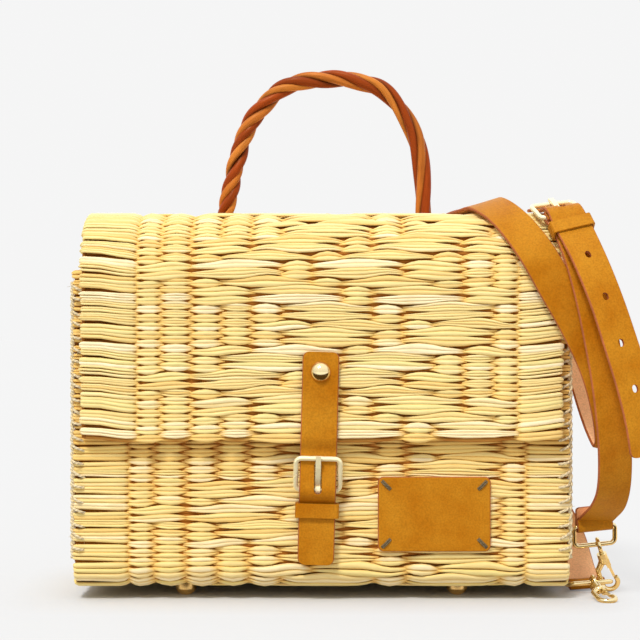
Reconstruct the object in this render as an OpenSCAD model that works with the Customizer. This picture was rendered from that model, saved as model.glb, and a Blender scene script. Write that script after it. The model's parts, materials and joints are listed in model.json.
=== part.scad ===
// Woven reed satchel: a folded mat body with a fold-over lid, a twisted willow handle,
// a buckled closing strap and a leather shoulder strap laid over the right top corner.
// Millimetres, +Z up, front towards -Y, origin on the floor under the middle of the bag.

/* [Body] */
// Width of the woven body
body_w = 300; // [280:2:320]
// Depth of the body, front to back
body_d = 116; // [112:2:124]
// Height of the front wall above the floor
front_top = 199; // [190:1:200]
// Outer radius of the two folds at the base
fold_r = 14; // [12:1:18]
// Height of the base above the floor, which is the height of the feet
base_z = 9; // [8:0.5:10]

/* [Weave] */
// Thickness of a mat without its ridges
mat_t = 5.6; // [5:0.1:6]
// Height of the woven ridges
ridge = 1.6; // [1:0.1:1.6]
// Distance between two rows of the weave
row_pitch = 5; // [4.8:0.1:8]
// Length in which the long floats wander to one side and back
float_period = 65; // [50:1:90]
// Number of warp cords across the front
warps = 13; // [11:1:15]
// Width of the plain border at the left edge of a mat
left_border = 39; // [30:1:45]
// Width of the plain border at the right edge of a mat
right_border = 32; // [30:1:45]
// Number of warp cords across a side panel
side_warps = 5; // [3:2:7]
// Thickness of a side panel without its ridges
side_t = 5; // [4:0.5:5]

/* [Lid] */
// How much narrower the lid is than the body at each side
lid_inset = 5.5; // [5.5:0.5:10]
// Height of the top of the lid
lid_top = 237; // [236:0.5:238]
// Radius of the lid's rounded shoulder
shoulder_r = 42; // [40:1:44]
// Height of the lid's lower edge
lid_low = 98; // [94:1:100]
// Room between the lid and the body's front
lid_room = 2; // [1.8:0.1:2.4]

/* [Handle] */
// Radius of the twisted bundle
handle_r = 5.5; // [5:0.1:5.8]
// Depth of the grooves between its rods
handle_groove = 0.8; // [0.4:0.1:1]
// Number of rods
handle_rods = 4; // [3:1:5]
// Turns of the twist along the hoop
handle_turns = 4; // [2:0.5:7]
// How much tighter the twist is at the left foot than on the average
handle_tight = 1.75; // [1:0.05:1.9]

/* [Closing strap] */
// Width of the closing strap
close_w = 22; // [20:0.5:22]
// Thickness of the closing strap
close_t = 2.4; // [2:0.1:2.6]
// Height of the strap's upper end
close_top = 151; // [146:1:154]
// Height of the strap's free end
close_end = 23; // [20:1:28]
// Height of the dome rivet
rivet_z = 139; // [136:1:142]
// Lean of the strap about the rivet, in degrees
close_lean = 1.5; // [0:0.5:2]
// Height of the buckle's heel bar
heel_z = 68; // [67:0.5:69]

/* [Leather and metal] */
// Thickness of the tab and keeper leather
leather = 1.8; // [1.5:0.1:2]
// Radius of the buckle and ring wire
wire_r = 1.5; // [1.3:0.1:1.6]
// Length of a buckle frame, bar to bar
frame_h = 20; // [19:0.5:21]
// Width of the leather patch
patch_w = 68; // [60:1:72]
// Height of the leather patch
patch_h = 45; // [40:1:48]
// Distance of the feet from the middle
foot_x = 84; // [70:1:100]

/* [Shoulder strap] */
// Width of the shoulder strap
strap_w = 22.4; // [20:0.2:22.4]
// Thickness of the shoulder strap
strap_t = 2; // [1.6:0.1:2]

/* [Hidden] */
$fn = 48;

straw = "#E6C478";
willow = "#B0662E";
tan = "#CD8A3A";
gold = "#E4CD8C";

// Planes of the bag, from front to back and from side to side
rivet_dome = 4.2;
fit = 0.3;
front_reach = rivet_dome + close_t + fit;
lid_front = -(front_reach + ridge + mat_t + lid_room + body_d) / 2 + front_reach;
lid_inside = lid_front + ridge + mat_t;
body_front = lid_inside + lid_room;
body_back = body_front + body_d;
mid_y = (body_front + body_back) / 2;
lid_under = lid_top - ridge - mat_t;
shoulder_y = lid_front + shoulder_r;
shoulder_z = lid_top - shoulder_r;
hinge_gap = 0.8;
side_ridge = 0.8;
side_inset = 3.5;
side_x = body_w / 2 - side_inset;
side_in_x = side_x - side_ridge - side_t;
base_in_z = base_z + ridge + mat_t;
lid_w = body_w - 2 * lid_inset;

// Small fits
pin_gap = 0.2;
shank_r = 1.6;
rivet_head_r = 3.6;
back_plate_t = 1.2;
loop_r = wire_r + pin_gap + leather;

function unit(v) = v / norm(v);
function mix(a, b, t) = a + (b - a) * t;
function heading_dir(a) = [cos(a), sin(a)];

// A bent path in the YZ plane is a list of [length, turn], walked from a point and a heading
function advance(pos, heading, d, turn) =
  turn == 0 ? [pos + d * heading_dir(heading), heading]
  : let (r = d / (turn * PI / 180))
    [pos + r * (heading_dir(heading + turn - 90) - heading_dir(heading - 90)), heading + turn];
function walk(path, s, pos, heading, i = 0) =
  s <= path[i][0] || i == len(path) - 1
  ? advance(pos, heading, s, path[i][1] * s / path[i][0])
  : let (end = advance(pos, heading, path[i][0], path[i][1]))
    walk(path, s - path[i][0], end[0], end[1], i + 1);

// Each row has two picks, evenly spaced along each leg of the path
function leg_start(path, i) = i == 0 ? 0 : leg_start(path, i - 1) + path[i - 1][0];
function pick_places(path, pitches) =
  [for (i = [0:len(path) - 1])
    let (n = 2 * round(path[i][0] / pitches[i])) each
    [for (k = [0:n - 1]) leg_start(path, i) + path[i][0] * (k + 0.5) / n]];

// The warp where a row's long floats start: it wanders from 1 to 5 and back
function float_start(s, low) =
  let (w = (s - low) / float_period, f = w - floor(w)) 1 + round(4 * (1 - abs(2 * f - 1)));

// Stations of a mat: [middle point, outward normal, low edge, high edge, first float], one for each
// pick and one at each end
function mat_stations(path, pitches, pos, heading, half_w, float_low) =
  let (picks = pick_places(path, pitches), n = len(picks))
  [for (i = [-1:n])
    let (s = i < 0 ? 0 : i == n ? leg_start(path, len(path)) : picks[i],
      row = picks[min(max(0, i - i % 2), n - 2)],
      w = walk(path, s, pos, heading), m = heading_dir(w[1] - 90))
    [[0, w[0][0], w[0][1]], [0, m[0], m[1]], -half_w, half_w, float_start(row, float_low)]];

// The weave: a row's first pick makes two floats over three warps with plain weave beside them,
// and its second pick passes over where the first passes under
no_float = 99;
float_span = 8;
function over(first, warp) =
  warp >= first && warp <= first + float_span ? (warp - first) % 4 != 0 : warp % 2 != 0;
function on_top(k, first, warp) = (k % 2 == 1) == over(first, warp) ? 1 : 0;
function relief(k, last, first, j, cols) =
  k == 0 || k == last ? 0
  : j == 0 ? 1 - on_top(k, first, 0)
  : j == cols - 1 ? 1 - on_top(k, first, cols - 3)
  : on_top(k, first, j - 1);

// Shares of a panel's width at which its edges and warps lie
function mat_shares(w) =
  [0, for (i = [0:warps - 1]) mix(left_border, w - right_border, i / (warps - 1)) / w, 1];
side_shares = [for (i = [0:side_warps + 1]) i / (side_warps + 1)];

// A woven mat: a ridged outer face, a plain inner face and closed edges
module woven_mat(st, across, shares, t, high) {
  cols = len(shares);
  last = len(st) - 1;
  inner = len(st) * cols;
  outer_points = [for (k = [0:last]) for (j = [0:cols - 1])
    st[k][0] + across * mix(st[k][2], st[k][3], shares[j])
    + st[k][1] * (t / 2 + high * relief(k, last, st[k][4], j, cols))];
  inner_points = [for (s = st) for (e = [2, 3]) s[0] + across * s[e] - s[1] * t / 2];
  faces = [for (k = [0:last - 1]) each
    let (a = k * cols, b = a + cols, c = inner + 2 * k, d = c + 2, e = cols - 1) concat(
      [for (j = [0:cols - 2]) each [[a + j, a + j + 1, b + j + 1], [a + j, b + j + 1, b + j]]],
      [[c, d, d + 1], [c, d + 1, c + 1]],
      [[a, b, d], [a, d, c], [b + e, a + e, c + 1], [b + e, c + 1, d + 1]])];
  first_cap = [for (j = [0:cols - 2]) [inner, j + 1, j]];
  end = last * cols;
  far = inner + 2 * last;
  last_cap = [for (j = [0:cols - 2]) [far, end + j, end + j + 1]];
  corners = [[inner, inner + 1, cols - 1], [far, end + cols - 1, far + 1]];
  polyhedron(concat(outer_points, inner_points), concat(faces, first_cap, last_cap, corners));
}

// A solid swept through rings of points, each ring seen anticlockwise from the start
module sweep(rings) {
  n = len(rings[0]);
  last = len(rings) - 1;
  centre = (last + 1) * n;
  ends = [for (r = [rings[0], rings[last]]) sum_points(r) / n];
  sides = [for (i = [0:last - 1]) for (j = [0:n - 1]) each
    let (k = (j + 1) % n, a = i * n, b = a + n) [[a + j, a + k, b + k], [a + j, b + k, b + j]]];
  caps = [for (j = [0:n - 1]) each
    let (k = (j + 1) % n) [[centre, k, j], [centre + 1, last * n + j, last * n + k]]];
  polyhedron(concat([for (r = rings) each r], ends), concat(sides, caps));
}
function sum_points(v, i = 0) = i < len(v) - 1 ? v[i] + sum_points(v, i + 1) : v[i];

// A smooth curve through points chosen by hand
function curve_at(p, i, t) =
  let (a = p[max(i - 1, 0)], b = p[i], c = p[i + 1], d = p[min(i + 2, len(p) - 1)])
  (2 * b + (c - a) * t + (2 * a - 5 * b + 4 * c - d) * t * t
    + (3 * b - a - 3 * c + d) * t * t * t) / 2;
function smooth(p, steps) =
  [for (i = [0:len(p) - 2]) for (k = [0:steps - 1]) curve_at(p, i, k / steps), p[len(p) - 1]];
function tangents(p) =
  [for (i = [0:len(p) - 1]) unit(p[min(i + 1, len(p) - 1)] - p[max(i - 1, 0)])];

// A flat strap along a route of [point, direction that its grain side faces]
module ribbon(route, w, t, steps) {
  points = smooth([for (r = route) r[0]], steps);
  facing = smooth([for (r = route) r[1]], steps);
  d = tangents(points);
  sweep([for (i = [0:len(points) - 1])
    let (a = unit(cross(d[i], facing[i])) * w / 2, n = unit(cross(a, d[i])) * t / 2)
    [points[i] - a - n, points[i] + a - n, points[i] + a + n, points[i] - a + n]]);
}

// Moves a shape drawn at the origin to a point, with its Z axis and X axis turned as given
module place(at, z_axis, x_axis) {
  z = unit(z_axis);
  y = unit(cross(z, x_axis));
  x = cross(y, z);
  multmatrix([[x[0], y[0], z[0], at[0]], [x[1], y[1], z[1], at[1]], [x[2], y[2], z[2], at[2]]])
    children();
}

// A flat plate with round corners, centred
module plate(w, h, r) {
  square([w - 2 * r, h], center = true);
  square([w, h - 2 * r], center = true);
  for (x = [-1, 1], y = [-1, 1]) translate([x * (w / 2 - r), y * (h / 2 - r)]) circle(r);
}

// Draws a YZ outline and extends it evenly along X
module along_x(w) {
  rotate([90, 0, 90]) translate([0, 0, -w / 2]) linear_extrude(w) children();
}

// The outline of a bent leather strip, from its middle line
function strip_outline(p, t) =
  let (d = tangents(p), n = [for (v = d) [-v[1], v[0]] * t / 2])
  concat([for (i = [0:len(p) - 1]) p[i] + n[i]], [for (i = [len(p) - 1:-1:0]) p[i] - n[i]]);

module tube(outer, inner, h) {
  difference() {
    cylinder(r = outer, h = h, center = true);
    cylinder(r = inner, h = h + 1, center = true);
  }
}

// A bar along X with round ends
module bar(length, r) {
  rotate([0, 90, 0]) cylinder(r = r, h = length, center = true);
  for (x = [-1, 1]) translate([x * length / 2, 0, 0]) sphere(r);
}

// Body

body_path = [[front_top - base_z - fold_r, 0],
  [(fold_r - ridge - mat_t / 2) * PI / 2, 90],
  [body_d - 2 * fold_r, 0],
  [(fold_r - ridge - mat_t / 2) * PI / 2, 90],
  [lid_under - hinge_gap - base_z - fold_r, 0]];
body_start = [body_front + ridge + mat_t / 2, front_top];
base_pitch = 2 * row_pitch;
body_pitches = [row_pitch, base_pitch, base_pitch, base_pitch, row_pitch];
body_float_z = 54;
foot_inset = 27;
foot_places = [[-foot_x, body_front + foot_inset], [foot_x, body_front + foot_inset],
  [-foot_x, body_back - foot_inset], [foot_x, body_back - foot_inset]];
tab_rivet_z = [41, 33.5];

module body_mat() {
  color(straw) difference() {
    woven_mat(mat_stations(body_path, body_pitches, body_start, 270, body_w / 2, front_top - body_float_z),
      [1, 0, 0], mat_shares(body_w), mat_t, ridge);
    for (p = foot_places) translate([p[0], p[1], base_z - 1]) cylinder(r = stud_r + fit, h = mat_t + 4);
    closing_lean() for (z = tab_rivet_z) translate([rivet_x, body_front - 1, z])
      rotate([-90, 0, 0]) cylinder(r = shank_r + fit, h = mat_t + 4);
  }
}

// Side panels: their front top corner follows the lid's shoulder

side_top_r = shoulder_r - ridge - mat_t - 2 * pin_gap;
side_low = base_in_z + pin_gap;
side_high = shoulder_z + side_top_r;
function side_front(z) =
  max(body_front + ridge + mat_t + pin_gap,
    z > shoulder_z ? shoulder_y - sqrt(max(0, side_top_r ^ 2 - (z - shoulder_z) ^ 2)) : -1e3);
function side_fold(z) =
  let (r = fold_r - ridge - mat_t, h = max(0, base_in_z + r - z)) r - sqrt(max(0, r ^ 2 - h ^ 2));
side_rows = 2 * round((side_high - side_low) / base_pitch);
side_stations = [for (k = [0:side_rows])
  let (z = mix(side_high, side_low, k / side_rows), back = body_back - ridge - mat_t - pin_gap)
  [[side_in_x + side_t / 2, 0, z], [1, 0, 0], side_front(z) + side_fold(z), back - side_fold(z), no_float]];

module side_panel(side) {
  tab_hole = [side_in_x - 1, mid_y, ring_rivet_z];
  color(straw) mirror([side < 0 ? 1 : 0, 0, 0]) difference() {
    woven_mat(side_stations, [0, 1, 0], side_shares, side_t, side_ridge);
    translate(tab_hole) rotate([0, 90, 0]) cylinder(r = shank_r + fit, h = side_t + 4);
  }
}

// Lid and handle

lid_path = [[body_back - shoulder_y, 0],
  [(shoulder_r - ridge - mat_t / 2) * PI / 2, 90],
  [shoulder_z - lid_low, 0]];
lid_start = [body_back, lid_top - ridge - mat_t / 2];
lid_pitches = [row_pitch, row_pitch, row_pitch];
lid_float_z = 136;
lid_float_place = leg_start(lid_path, 2) + shoulder_z - lid_float_z;
handle_y = mid_y;
// Points of the handle: across, and above the lid's top
handle_points = [[-61, -12], [-60.5, 3], [-56, 25], [-50, 47], [-42, 64], [-29, 78], [-13, 85.5],
  [7, 87], [24, 85.5], [37, 80.5], [48, 69], [57, 53], [62, 38], [65, 20], [65.5, 3], [65.5, -12]];
handle_hole_r = handle_r + 0.6;

module lid_mat() {
  color(straw) difference() {
    woven_mat(mat_stations(lid_path, lid_pitches, lid_start, 180, lid_w / 2, lid_float_place),
      [1, 0, 0], mat_shares(lid_w), mat_t, ridge);
    for (p = [handle_points[0], handle_points[len(handle_points) - 1]])
      translate([p[0], handle_y, lid_under - 2]) cylinder(r = handle_hole_r, h = mat_t + ridge + 4);
    translate([rivet_x, lid_front - 1, rivet_z]) rotate([-90, 0, 0])
      cylinder(r = shank_r + fit, h = mat_t + ridge + 2);
  }
}

module handle() {
  points = smooth([for (p = handle_points) [p[0], handle_y, lid_top + p[1]]], 4);
  d = tangents(points);
  sides = 4 * handle_rods;
  n = len(points) - 1;
  color(willow) sweep([for (i = [0:n])
    let (a = [0, 1, 0], b = cross(a, d[i]), s = i / n,
      turn = 360 * handle_turns * s * (handle_tight - (handle_tight - 1) * s))
    [for (j = [0:sides - 1])
      let (at = 360 * j / sides, r = handle_r - handle_groove * (1 - cos(handle_rods * at)) / 2)
      points[i] + r * (cos(at - turn) * a + sin(at - turn) * b)]]);
}

// Closing strap, its rivet and the buckle on the body

rivet_x = -0.5;
toe_z = heel_z + frame_h;
tab_back = body_front - pin_gap - leather - pin_gap;
heel_y = tab_back - loop_r;
strap_lid_y = lid_front - fit - close_t / 2;
strap_heel_y = heel_y - loop_r - fit - close_t / 2;
strap_toe_y = strap_heel_y + 2.2;
strap_keeper_y = tab_back - leather - fit - close_t / 2;
toe_y = strap_toe_y - close_t / 2 - fit - wire_r;
keeper_top = heel_z - 8;
keeper_h = 8.6;
keeper_low = keeper_top - keeper_h;
close_line = [[strap_lid_y, close_top], [strap_lid_y, lid_low + 6], [strap_lid_y + 0.1, lid_low],
  [strap_toe_y + 0.4, toe_z + 4], [strap_toe_y, toe_z - 1], [strap_heel_y + 0.8, heel_z + 7],
  [strap_heel_y, heel_z + 1], [strap_heel_y + 0.9, heel_z - 3], [strap_keeper_y - 0.5, keeper_top + 2.4],
  [strap_keeper_y, keeper_top + 0.6], [strap_keeper_y, keeper_low],
  [strap_keeper_y, 40], [strap_keeper_y + 0.8, close_end]];

module closing_lean() {
  translate([rivet_x, 0, rivet_z]) rotate([0, close_lean, 0]) translate([-rivet_x, 0, -rivet_z]) children();
}

module closing_strap() {
  slot_low = heel_z + 3;
  slot_h = 14;
  color(tan) closing_lean() translate([rivet_x, 0, 0]) difference() {
    intersection() {
      along_x(close_w) polygon(strip_outline(close_line, close_t));
      translate([0, 0, (close_top + close_end) / 2]) rotate([90, 0, 0])
        linear_extrude(200, center = true) plate(close_w, close_top - close_end, 4);
    }
    translate([-prong_slot / 2, -100, slot_low]) cube([prong_slot, 100, slot_h]);
    translate([0, lid_front - 6, rivet_z]) rotate([-90, 0, 0]) cylinder(r = shank_r + fit, h = 10);
  }
}

rivet_r = 6.3;
module closing_rivet() {
  cap_r = (rivet_r ^ 2 + rivet_dome ^ 2) / (2 * rivet_dome);
  seat = lid_front - fit - close_t - 0.05;
  color(gold) translate([rivet_x, seat, rivet_z]) rotate([90, 0, 0]) {
    intersection() {
      translate([0, 0, rivet_dome - cap_r]) sphere(cap_r);
      cylinder(r = rivet_r, h = rivet_dome + 1);
    }
    translate([0, 0, seat - lid_inside - 1.4]) cylinder(r = shank_r, h = lid_inside + 1.6 - seat);
  }
}

module closing_rivet_plate() {
  color(gold) translate([rivet_x, lid_inside + 0.1, rivet_z]) rotate([-90, 0, 0]) difference() {
    cylinder(r = 4.5, h = back_plate_t);
    translate([0, 0, -1]) cylinder(r = shank_r + 0.1, h = back_plate_t + 2);
  }
}

// A buckle frame in its own XZ plane: heel bar on the X axis, toe bar frame_h above it
frame_in = 23.6;
module frame_shape() {
  half = frame_in / 2 + wire_r;
  for (z = [0, frame_h]) translate([0, 0, z]) bar(2 * half, wire_r);
  for (x = [-1, 1]) translate([x * half, 0, 0]) cylinder(r = wire_r, h = frame_h);
}

// A prong in the same plane: a ring round the heel bar and a bar that lies on the toe bar
prong_w = 3.2;
prong_slot = prong_w + 1.4;
module prong_shape(tip_rise) {
  rotate([0, 90, 0]) tube(wire_r + pin_gap + 1.5, wire_r + pin_gap, prong_w);
  root = wire_r + pin_gap + 0.6;
  rest = -wire_r - pin_gap;
  tip = frame_h + tip_rise;
  along_x(prong_w) polygon([[-1.1, root], [1.1, root], [rest + 0.1, frame_h - 5], [rest, tip],
    [rest - 1.6, tip], [rest - 1.8, frame_h - 5]]);
}

frame_tilt = atan2(heel_y - toe_y, frame_h);
module at_heel() {
  closing_lean() translate([rivet_x, heel_y, heel_z]) rotate([frame_tilt, 0, 0]) children();
}

module buckle_frame() {
  color(gold) at_heel() frame_shape();
}

module buckle_prong() {
  color(gold) at_heel() prong_shape(2.4);
}

// The strip that holds the buckle: a loop round the heel bar and a tail flat on the body
tab_w = 20;
tab_foot = 29;
tab_loop_y = tab_back - leather / 2;
tab_tail_y = body_front - pin_gap - leather / 2;
tab_line = [[tab_loop_y, heel_z], [tab_loop_y, keeper_low - 1], [tab_tail_y, keeper_low - 6],
  [tab_tail_y, tab_foot]];
module buckle_tab() {
  color(tan) closing_lean() translate([rivet_x, 0, 0]) difference() {
    union() {
      along_x(tab_w) polygon(strip_outline(tab_line, leather));
      translate([0, heel_y, heel_z]) rotate([0, 90, 0]) cylinder(r = loop_r, h = tab_w, center = true);
    }
    translate([0, heel_y, heel_z]) rotate([0, 90, 0])
      cylinder(r = wire_r + pin_gap, h = tab_w + 1, center = true);
    translate([-prong_slot / 2, heel_y - 10, heel_z - 4.2]) cube([prong_slot, 20, 10]);
    for (z = tab_rivet_z) translate([0, body_front - 6, z])
      rotate([-90, 0, 0]) cylinder(r = shank_r + 0.1, h = 10);
  }
}

tab_rivet_head = 1.2;
shank_l = leather + ridge + mat_t + 2;
module tab_rivets() {
  color(gold) closing_lean() for (z = tab_rivet_z)
    translate([rivet_x, body_front - pin_gap - leather - 0.05, z]) rotate([90, 0, 0]) {
      cylinder(r = rivet_head_r, h = tab_rivet_head);
      translate([0, 0, -shank_l]) cylinder(r = shank_r, h = shank_l + 0.5);
    }
}

module tab_rivet_plates() {
  color(gold) closing_lean() for (z = tab_rivet_z)
    translate([rivet_x, body_front + ridge + mat_t + 0.1, z]) rotate([-90, 0, 0]) difference() {
      cylinder(r = rivet_head_r, h = back_plate_t);
      translate([0, 0, -1]) cylinder(r = shank_r + 0.1, h = back_plate_t + 2);
    }
}

module keeper_loop() {
  in_w = close_w + 1.4;
  in_d = leather + close_t + 3 * pin_gap + 1;
  middle = body_front - pin_gap - 1.5 - in_d / 2;
  color(tan) closing_lean() translate([rivet_x, middle, keeper_low]) linear_extrude(keeper_h)
    difference() {
      plate(in_w + 3, in_d + 3, 2);
      plate(in_w, in_d, 0.6);
    }
}

// Patch on the front, with a pair of holes for each corner stitch
patch_x = 68;
patch_z = 53;
stitch_in = 7;
stitch_half = 2.6;
stitch_hole_r = 0.7;
module leather_patch() {
  thick = 2.2;
  color(tan) translate([patch_x, body_front - pin_gap, patch_z]) rotate([90, 0, 0]) difference() {
    linear_extrude(thick) plate(patch_w, patch_h, 3.5);
    for (x = [-1, 1], y = [-1, 1], e = [-1, 1])
      translate([x * (patch_w / 2 - stitch_in + e * stitch_half),
          y * (patch_h / 2 - stitch_in - e * stitch_half), -1])
        cylinder(r = stitch_hole_r, h = thick + 2);
  }
}

// Feet and the plates that hold them inside

stud_r = 2;
foot_r = 6.4;
foot_plate_r = 6;
foot_plate_t = 1.4;
module foot(i) {
  color(gold) translate([foot_places[i][0], foot_places[i][1], 0]) {
    intersection() {
      translate([0, 0, foot_r]) sphere(foot_r + 0.5);
      cylinder(r = foot_r, h = base_z - 0.1);
    }
    translate([0, 0, base_z - 1]) cylinder(r = stud_r, h = mat_t + ridge + 3);
  }
}

module foot_plates() {
  color(gold) for (p = foot_places) translate([p[0], p[1], base_in_z + 0.1]) difference() {
    cylinder(r = foot_plate_r, h = foot_plate_t);
    translate([0, 0, -1]) cylinder(r = stud_r + 0.1, h = foot_plate_t + 2);
  }
}

// Rings at the sides: a tab folded round the ring's straight bar

ring_z = 190;
ring_in = 21;
ring_rivet_z = 202;
ring_tab_w = 19;
ring_x = side_x + pin_gap + loop_r;
ring_tab_top = 212;
module ring_tab(side) {
  line = [[side_x + pin_gap + leather / 2, ring_tab_top], [side_x + pin_gap + leather / 2, ring_z]];
  color(tan) mirror([side < 0 ? 1 : 0, 0, 0]) translate([0, mid_y, 0]) difference() {
    union() {
      rotate([90, 0, 0]) linear_extrude(ring_tab_w, center = true) polygon(strip_outline(line, leather));
      translate([ring_x, 0, ring_z]) rotate([90, 0, 0]) cylinder(r = loop_r, h = ring_tab_w, center = true);
    }
    translate([ring_x, 0, ring_z]) rotate([90, 0, 0])
      cylinder(r = wire_r + pin_gap, h = ring_tab_w + 1, center = true);
    translate([side_x - 1, 0, ring_rivet_z]) rotate([0, 90, 0]) cylinder(r = shank_r + 0.1, h = 5);
  }
}

module side_ring(side) {
  half = ring_in / 2 + wire_r;
  color(gold) mirror([side < 0 ? 1 : 0, 0, 0]) translate([ring_x, mid_y, ring_z]) {
    rotate([0, 0, 90]) bar(2 * half, wire_r);
    for (y = [-1, 1]) translate([0, y * half, -4]) cylinder(r = wire_r, h = 4);
    translate([0, 0, -4]) rotate([0, 90, 0]) rotate_extrude(angle = 180, start = -90)
      translate([half, 0]) circle(wire_r);
  }
}

module ring_tab_rivet(side) {
  head = side_x + pin_gap + leather + 0.05;
  shank = head - side_in_x + back_plate_t + pin_gap;
  color(gold) mirror([side < 0 ? 1 : 0, 0, 0]) translate([head, mid_y, ring_rivet_z]) rotate([0, 90, 0]) {
    cylinder(r = rivet_head_r, h = back_plate_t);
    translate([0, 0, -shank]) cylinder(r = shank_r, h = shank + 0.4);
    translate([0, 0, -shank]) cylinder(r = rivet_head_r, h = back_plate_t);
  }
}

// Shoulder strap: route points chosen by hand, each with the way that the grain side faces

long_route = [
  [[190, -84, 91], [0.25, -1, 0]], [[187, -85, 109], [0.3, -1, 0]], [[182, -85, 130], [0.3, -1, 0.1]],
  [[175, -83, 154], [0.3, -1, 0.2]], [[167, -78, 181], [0.3, -1, 0.35]],
  [[158.5, -69, 206], [0.2, -1, 0.6]],
  [[150, -54, 228.6], [-0.05, -0.7, 0.75]], [[146.1, -47.4, 238.1], [-0.04, -0.45, 0.9]],
  [[144.4, -37, 238.6], [-0.1, -0.3, 0.95]], [[143.1, -30.6, 238.2], [-0.1, -0.25, 0.97]],
  [[141.9, -24, 239.3], [-0.1, -0.2, 1]], [[141, -10, 239.6], [-0.08, 0, 1]],
  [[143, 4, 240.2], [0, 0.1, 1]], [[150, 15, 242], [0.2, 0.2, 1]],
  [[160, 22, 236], [0.5, 0.7, 0.6]], [[166, 25, 220], [0.3, 0.95, 0.1]], [[167, 23, 195], [0.1, 1, -0.1]],
  [[165, 17, 170], [-0.15, 1, -0.3]], [[165.5, 6, 146], [-0.25, 0.9, -0.45]],
  [[169, -8, 122], [-0.3, 0.8, -0.5]], [[173, -25, 101], [-0.3, 0.5, -0.8]],
  [[175.5, -41, 91], [-0.25, -0.1, -1]], [[175.5, -54, 98], [-0.1, -0.85, -0.5]],
  [[172, -60, 117], [0, -1, -0.1]], [[165, -62.4, 141], [0, -1, 0]], [[153.5, -62.6, 166], [0, -1, 0.05]],
  [[140.5, -62.2, 189], [0, -1, 0.15]], [[127.5, -58.4, 212], [0, -0.92, 0.4]],
  [[114, -45, 231.4], [-0.12, -0.6, 0.78]], [[102.5, -24, 242], [-0.3, -0.12, 0.93]],
  [[97, -4, 240.4], [-0.15, 0, 1]], [[94, 18, 239], [0, 0, 1]], [[92, 44, 239], [0, 0, 1]],
  [[91.5, 59, 239.3], [0, 0.1, 1]], [[91.5, 67, 239], [0, 0.55, 0.85]],
  [[91.6, 70, 234], [0, 0.95, 0.3]], [[92.5, 69.6, 216], [0, 1, 0]],
  [[97, 68.6, 185], [0, 1, 0]], [[105, 68.6, 150], [0, 1, 0]], [[115, 69, 116], [0, 1, 0]],
  [[128, 70.5, 86], [0.1, 1, -0.05]], [[144, 71.5, 60], [0.45, 0.88, -0.15]],
  [[158.4, 65.5, 40], [0.62, 0.7, -0.35]], [[163.4, 49.5, 27], [0.42, 0.6, -0.65]],
  [[164.5, 29, 17.5], [0.05, 0.5, -0.85]],
  [[165, 12, 10.5], [-0.1, 0.4, -0.9]], [[166.2, -1, 5.6], [-0.08, 0.25, -1]],
  [[166.6, -7.5, 3.4], [-0.06, 0.2, -1]]];
short_route = [
  [[168.4, -29.5, 46.5], [0.1, -0.9, -0.5]], [[170, -38, 50.5], [0.1, -0.75, -0.65]],
  [[173, -50, 58], [0.15, -0.8, -0.5]], [[174.5, -60, 70], [0.3, -0.9, -0.3]],
  [[174, -67, 88], [0.35, -1, -0.1]], [[172, -71, 110], [0.35, -1, 0]], [[169, -72, 135], [0.3, -1, 0.1]],
  [[165, -70.5, 160], [0.25, -1, 0.15]], [[160.5, -67, 185], [0.2, -1, 0.25]],
  [[155.5, -61.5, 207], [0.1, -1, 0.45]], [[149.6, -52, 226.4], [-0.05, -0.7, 0.75]],
  [[146.4, -45.3, 232.4], [-0.05, -0.55, 0.84]]];

// The strap buckle: heel bar in the short strap's loop, toe bar over the long strap
strap_heel = [146.2, -44.6, 233.3];
strap_toe = [141.8, -25.4, 242.2];
strap_across = [0.985, 0.12, 0.1];
module at_strap_heel() {
  place(strap_heel, strap_toe - strap_heel, strap_across) children();
}

upper_bar = [168.2, -29, 43.2];
upper_hang = [0.06, 0.25, -0.97];
upper_across = [0.98, 0.1, 0.12];
lower_bar = [166.7, -10.6, 4.6];
lower_hang = [0.05, -0.98, 0.19];
lower_across = [0.98, 0.06, 0.06];

// A loop of leather at a strap's end, round a bar
module end_loop(at, z_axis, x_axis, w) {
  place(at, z_axis, x_axis) rotate([0, 90, 0]) cylinder(r = loop_r, h = w, center = true);
}
module end_bore(at, z_axis, x_axis) {
  place(at, z_axis, x_axis) rotate([0, 90, 0])
    cylinder(r = wire_r + pin_gap, h = strap_w + 4, center = true);
}

module long_strap() {
  color(tan) difference() {
    union() {
      ribbon(long_route, strap_w, strap_t, 2);
      end_loop(lower_bar, lower_hang, lower_across, strap_w - 0.6);
    }
    end_bore(lower_bar, lower_hang, lower_across);
    at_strap_heel() translate([-prong_slot / 2, -12, 4]) cube([prong_slot, 24, 14]);
  }
}

module short_strap() {
  color(tan) difference() {
    union() {
      ribbon(short_route, strap_w, strap_t, 2);
      end_loop(upper_bar, upper_hang, upper_across, strap_w - 0.6);
      end_loop(strap_heel, strap_toe - strap_heel, strap_across, strap_w - 0.6);
    }
    end_bore(upper_bar, upper_hang, upper_across);
    end_bore(strap_heel, strap_toe - strap_heel, strap_across);
    at_strap_heel() translate([-prong_slot / 2, -8, -4]) cube([prong_slot, 16, 12]);
  }
}

module strap_buckle_frame() {
  color(gold) at_strap_heel() frame_shape();
}

module strap_buckle_prong() {
  color(gold) at_strap_heel() prong_shape(2);
}

module strap_keeper() {
  at = [150.2, -53.8, 226.2];
  in_w = strap_w + 1.6;
  in_d = 2 * strap_t + 2.4;
  color(tan) place(at, [-0.295, 0.535, 0.79], [0.954, 0.182, 0.233]) translate([0, 0, -4]) linear_extrude(8)
    difference() {
      plate(in_w + 2.6, in_d + 2.6, 1.6);
      plate(in_w, in_d, 0.6);
    }
}

// An end ring: a bar in the strap's loop, two short sides and a second bar that carries the clasp
ring_depth = 12.5;
module end_ring_shape() {
  half = strap_w / 2 + 0.3 + wire_r;
  for (z = [0, ring_depth]) translate([0, 0, z]) bar(2 * half, wire_r);
  for (x = [-1, 1]) translate([x * half, 0, 0]) cylinder(r = wire_r, h = ring_depth);
}

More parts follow.
